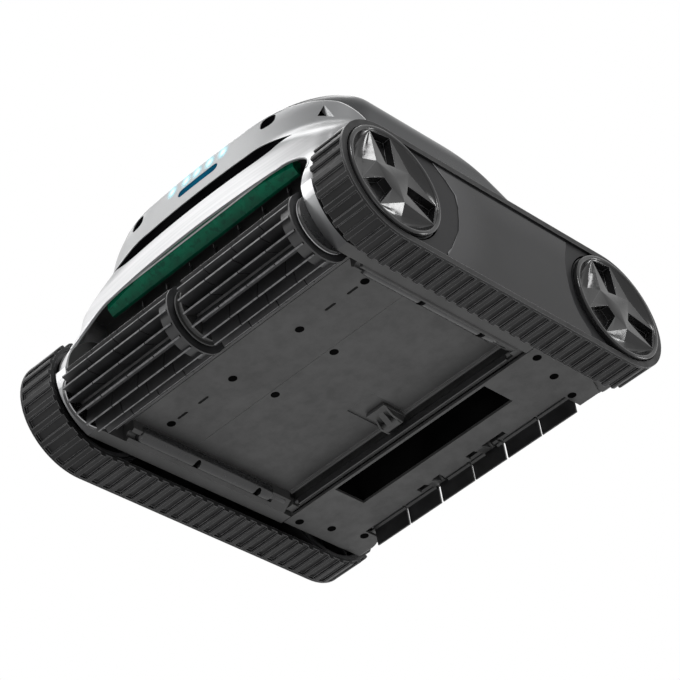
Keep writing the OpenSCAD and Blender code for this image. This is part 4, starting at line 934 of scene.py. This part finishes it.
# Painted highlights as bright slips down the front edge of each rib: a narrow pointed blade, its width a
# sine of its height.
def makeRibGlints():
    r = ribs
    t = np.linspace(0, 1, 9)
    fat = np.sin(math.pi * (0.1 + 0.8 * t))
    w = r["half"] * fat
    points, faces = [], []
    for k, (x, z0) in enumerate(zip(r["at"], r["low"])):
        z = np.minimum(z0 + r["long"] * t, r["topZ"])
        flat, mid = 0 * t, x + 0 * t
        corners = ((x - w, flat), (mid, -r["proud"] * fat), (x + w, flat), (mid, r["sunk"] + flat))
        ring = np.stack([np.stack([cx, r["y"] + cy, z], 1) for cx, cy in corners], 1)
        points.append(ring.reshape(-1, 3))
        faces += [*ringFaces(9, 4, k * 36, True), [k * 36 + j for j in (3, 2, 1, 0)][::-1],
                  [k * 36 + 32 + j for j in (3, 2, 1, 0)]]
    obj = meshOf("ribGlints", np.concatenate(points), faces)
    mergeClose(obj)
    place(obj, "base", "guard_plastic", mats["fascia_paint"])


screws = dict(front=((42.4, -105.3), (122.6, -105.3), (37.4, -57.0)), frontZ=28.0,
              rear=((151.3, 84.2), (142.0, 118.2), (132.8, 153.6)), rearZ=11.3, r=4.2, lobe=0.12)


# Screw cups just under the belly's face: a rounded rim, a funnel and a socket, its radius waved by
# the cosine of six times the angle; a profile (radius, height) turned about z.
def makeScrewCups():
    s = screws
    pr, pz = np.array([(s["r"], 0.3), (s["r"], -0.15), (s["r"] - 0.2, -0.25), (s["r"] - 0.5, -0.15),
                       (2.8, -0.06), (1.7, -0.03), (1.2, -0.08), (1.0, -0.04), (0, -0.04)]).T
    sides = 36
    a = np.linspace(0, 2 * math.pi, sides, endpoint=False)
    socket = ((pr > 0.5) & (pr < 1.3))[:, None]
    r = pr[:, None] + socket * s["lobe"] * np.cos(6 * a)
    spots = [(m * x, y, z) for group, z in ((s["front"], s["frontZ"]), (s["rear"], s["rearZ"]))
             for m in (-1, 1) for x, y in group]
    points, faces = [], []
    for k, (x, y, z) in enumerate(spots):
        cup = np.stack([x + r * np.cos(a), y + r * np.sin(a), z + pz[:, None] + 0 * r], -1)
        points.append(cup.reshape(-1, 3))
        n = k * r.size
        faces += [*ringFaces(len(pr), sides, n, True), list(range(n, n + sides))]
    obj = meshOf("screwCups", np.concatenate(points), faces)
    mergeClose(obj)
    softEdges(obj, 35)
    # the cups are near-black: painted shade in the screw pockets
    place(obj, "base", "screw_steel", shadeBlack, ["belly_screws"])


flap = dict(y=165.6, t=1.8, low=1.0, rodY=158.0, rodZ=22.0, rodR=2.0, rodX=132.5,
            clips=(-37.0, 26.0), clear=7.6,
            fingers=((-126.5, -84.9), (-83.1, -43.4), (-40.8, -0.8),
                     (0.8, 39.6), (42.2, 83.1), (84.9, 126.5)))


# All parts joined into the first one.
def fuse(name, parts):
    for p in parts[1:]:
        cut(parts[0], p, "UNION")
    parts[0].name = name
    return parts[0]


# Six rubber fingers hung on a rod: a profile in (y, z) carried along x, notched clear of the two clips.
def makeFlap():
    f = flap
    y, t, low, rodY, rodZ = f["y"], f["t"], f["low"], f["rodY"], f["rodZ"]
    foot = [(y - t, low), (y - t * 0.15, low), (y, low + 0.5)]
    body = [*foot, (y, rodZ), (y - 0.9, rodZ + 2.6), (y - 3, rodZ + 4), (rodY, rodZ + 4),
            (rodY - 3.4, rodZ + 1), (rodY - 2.6, rodZ - 2.4), (rodY, rodZ - 3.6),
            (y - t - 2.2, rodZ - 2.4), (y - t - 0.5, rodZ - 4), (y - t, rodZ - 7)]
    short = [*foot, (y, rodZ), (y - t, rodZ)]
    gap = f["clear"]
    parts = []
    for x0, x1 in f["fingers"]:
        near = [c for c in f["clips"] if x0 - gap < c < x1 + gap]
        spans = [(x0, near[0] - gap), (near[0] + gap, x1)] if near else [(x0, x1)]
        parts += [prism("part", body, a, b, "x") for a, b in spans if b - a > 1.5]
        if near:
            parts.append(prism("part", short, x0, x1, "x"))
    parts.append(prism("rodTool", circle(rodY, rodZ, f["rodR"], 24), -f["rodX"], f["rodX"], "x"))
    whole = fuse("rearFlap", parts)
    softEdges(whole, 30)
    place(whole, "skirt", "brush_rubber", flapRubber, ["rear_flap"])


hook = dict(r=4.7, bore=2.5, half=7.0, root=5.0, tail=133.0, tailZ=(11.6, 13.6))


# Two hooks that carry the flap's rod: a bored barrel with a tapered root, lengthwise in x.
def makeHooks():
    f, h = flap, hook
    y, z, r = f["rodY"], f["rodZ"], h["r"]
    low, high = h["tailZ"]
    root = [(h["tail"], high), (h["tail"], low), (h["tail"] + 8, low), (y + 1, z - r),
            (y + 1, z + r - 0.4), (y - 4, z + r - 1)]
    parts = []
    for c in f["clips"]:
        parts.append(prism("root", root, c - h["root"], c + h["root"], "x"))
        parts.append(prism("barrel", circle(y, z, r, 36), c - h["half"], c + h["half"], "x"))
    whole = fuse("flapHooks", parts)
    for c in f["clips"]:
        cut(whole, prism("bore", circle(y, z, h["bore"], 36), c - 20, c + 20, "x"))
    softEdges(whole, 30)
    place(whole, "base", "body_plastic")


# Each part's (y, z) outline and its span in x.
bracket = dict(foot=([(34, 25.2), (64, 25.2), (64, 28.2), (34, 28.2)], -11, 11),
               web=([(40, 26), (52, 17), (58, 17), (61, 26)], -3, 3),
               cheekRight=([(44, 26), (50, 16.5), (61, 16.5), (63, 26)], -10.5, -8.7),
               cheekLeft=([(36, 26), (46, 19), (58, 16.5), (63, 26)], 8.7, 10.5),
               barrel=(circle(55.5, 20.2, 4.6, 36), -9, 9))


# Centre bracket ahead of the mouth lip: foot plate, web, two cheeks and a barrel along x.
def makeBracket():
    whole = fuse("lipBracket", [prism(name, *part, "x") for name, part in bracket.items()])
    softEdges(whole, 30)
    place(whole, "base", "body_plastic")


# Stations from the rail's front end: (way back, radius).
tube = dict(x=143.6, z=20.6, y=-130.0, sides=40,
            holes=(-58.0, 19.0), holeR=3.3, holeHalf=3.4, holeTop=18.5, plug=15.6,
            stations=[(0, 0.01), (0.3, 3.4), (1.2, 6.0), (2.8, 7.6), (6, 8.2), (60, 8.2), (120, 8.2),
                      (164, 8.2), (165.5, 7.8), (166.2, 6.6), (167, 6.3), (168.5, 6.2), (184, 6.2),
                      (185.8, 5.4), (186.7, 3.6), (187, 0.01)])


# Round rail along each side of the belly: a radius carried along y, with two cross slots below.
def makeTubes():
    u = tube
    n = u["sides"]
    y, r = np.array(u["stations"]).T[:, :, None]
    a = np.linspace(0, 2 * math.pi, n, endpoint=False)
    ends = [list(range(n)), list(range((len(y) - 1) * n, len(y) * n))]
    for s, side in ((1, "left"), (-1, "right")):
        c = s * u["x"]
        points = np.stack([c + r * np.cos(a), u["y"] + y + 0 * r * a, u["z"] + r * np.sin(a)], -1)
        obj = meshOf("rail." + side, points, [*ringFaces(len(y), n), *ends])
        mergeClose(obj)
        for h in u["holes"]:
            slot = np.concatenate([arc(c + u["holeHalf"], h, u["holeR"], -90, 90, 13),
                                   arc(c - u["holeHalf"], h, u["holeR"], 90, 270, 13)])
            cut(obj, prism("slot", slot, 0, u["holeTop"], "z"))
            # a near-black plug in each slot: painted shade
            plug = prism("railPlug", slot, u["plug"], u["holeTop"] - 0.1, "z")
            softEdges(plug, 30)
            place(plug, "base", "body_plastic", shadeBlack)
        softEdges(obj, 34)
        place(obj, "base", "body_plastic", railPlastic)


makeFascia()
makeGlass()
print("fascia and glass made")
makeCover()
makeLid()
print("cover and lid made")
for end, sy in (("front", -1), ("rear", 1)):
    for side, sx in (("left", 1), ("right", -1)):
        corner = end + "_" + side
        hubCap("hubCap." + end + "." + side, sx, sy * axis["wheelY"], "wheel_" + corner, "hub_cap_" + corner)
print("hub caps made")
makeGlow()
makeLip()
makeRibGlints()
makeScrewCups()
makeFlap()
makeHooks()
makeBracket()
makeTubes()
print("small fittings made")


room = dict(floorZ=-0.0006, floorSize=6.0, floorColor=(0.82, 0.82, 0.82), floorRough=0.9, fill=0.40)


# One node in any tree: its type, its settings, its socket values or links.
def treeNode(tree, kind, settings, values):
    n = tree.nodes.new(kind)
    for k, v in settings.items():
        setattr(n, k, v)
    for k, v in values.items():
        if isinstance(v, bpy.types.NodeSocket):
            tree.links.new(v, n.inputs[k])
        else:
            n.inputs[k].default_value = v
    return n.outputs[0]


# White to the camera, to reflections and through glass; a dimmer even fill for everything else.
def makeWorld():
    world = bpy.data.worlds.new("studio")
    bpy.context.scene.world = world
    world.use_nodes = True
    t = world.node_tree
    t.nodes.clear()
    path = t.nodes.new("ShaderNodeLightPath").outputs
    seen = path["Is Camera Ray"]
    for ray in ("Is Transmission Ray", "Is Glossy Ray"):
        seen = treeNode(t, "ShaderNodeMath", {"operation": "MAXIMUM"}, {0: seen, 1: path[ray]})
    strength = treeNode(t, "ShaderNodeMix", {"data_type": "FLOAT"}, {0: seen, 2: room["fill"], 3: 1.0})
    back = treeNode(t, "ShaderNodeBackground", {}, {0: (1, 1, 1, 1), 1: strength})
    t.links.new(back, t.nodes.new("ShaderNodeOutputWorld").inputs[0])


# The floor shows only from above, and lets the low light through.
def makeFloor():
    s, z = room["floorSize"], room["floorZ"]
    mesh = bpy.data.meshes.new("floor")
    mesh.from_pydata([(-s, -s, z), (s, -s, z), (s, s, z), (-s, s, z)], [], [(0, 1, 2, 3)])
    floor = bpy.data.objects.new("floor", mesh)
    bpy.context.scene.collection.objects.link(floor)
    f = Finish("paleFloor", room["floorColor"], room["floorRough"])
    front = 1 - f.node("ShaderNodeNewGeometry", {}, {}, "Backfacing")
    shown = front * f.node("ShaderNodeLightPath", {}, {}, "Is Camera Ray")
    clear = f.node("ShaderNodeBsdfTransparent", {}, {})
    both = f.node("ShaderNodeMixShader", {}, {0: shown, 1: clear, 2: Sock(f, f.bsdf.outputs[0])})
    f.t.links.new(both.out, f.end.inputs[0])
    mesh.materials.append(f.m)


# name, place, aim, size in metres, watts
lamps = [
    ("keyLamp", (-0.9, -2.2, 1.9), (0, 0, 0.12), (1.6, 1.2), 30),
    ("topLamp", (-0.7, 0.5, 2.4), (0, 0, 0.1), (1.4, 1.4), 18),
    ("lowLamp", (0.2, -1.2, -2.0), (0, 0, 0.05), (1.4, 1.4), 13),
    ("capLamp", (1.55, -0.67, 1.45), (0.2, -0.1, 0.06), (0.5, 0.5), 14),
    ("tailLamp", (1.25, 2.1, 0.10), (0.2, 0, 0.06), (0.5, 0.5), 10),
]


def makeLamps():
    for name, spot, aim, size, watts in lamps:
        data = bpy.data.lights.new(name, "AREA")
        data.shape = "RECTANGLE"
        data.size, data.size_y = size
        data.energy = watts
        obj = bpy.data.objects.new(name, data)
        bpy.context.scene.collection.objects.link(obj)
        turn = (Vector(aim) - Vector(spot)).to_track_quat("-Z", "Y").to_matrix().to_4x4()
        obj.matrix_world = Matrix.Translation(spot) @ turn


# Azimuth from the front towards the left side, elevation and roll, in degrees; lens in mm.
camera = dict(aim=(0.030765, -0.030886, 0.058261), distance=2.68, azimuth=37.96242, elevation=-37.46444,
              roll=-10.58769, lens=158.4196, shift=(-0.006294, -0.000382), clip=(0.05, 50.0))


def makeCamera():
    c = camera
    data = bpy.data.cameras.new("camera")
    data.sensor_width = 36.0
    data.lens = c["lens"]
    data.shift_x, data.shift_y = c["shift"]
    data.clip_start, data.clip_end = c["clip"]
    cam = bpy.data.objects.new("camera", data)
    bpy.context.scene.collection.objects.link(cam)
    az, el, roll = [math.radians(c[k]) for k in ("azimuth", "elevation", "roll")]
    back = Vector((math.sin(az) * math.cos(el), -math.cos(az) * math.cos(el), math.sin(el)))
    level = Vector((math.cos(az), math.sin(az), 0))
    right = level * math.cos(roll) + back.cross(level) * math.sin(roll)
    up = back.cross(right)
    spot = Vector(c["aim"]) + back * c["distance"]
    cam.matrix_world = Matrix.Translation(spot) @ Matrix((right, up, back)).transposed().to_4x4()
    bpy.context.scene.camera = cam


makeWorld()
makeFloor()
makeCamera()
makeLamps()
bpy.context.scene.view_settings.view_transform = "Standard"
print("room, lamps and camera set")
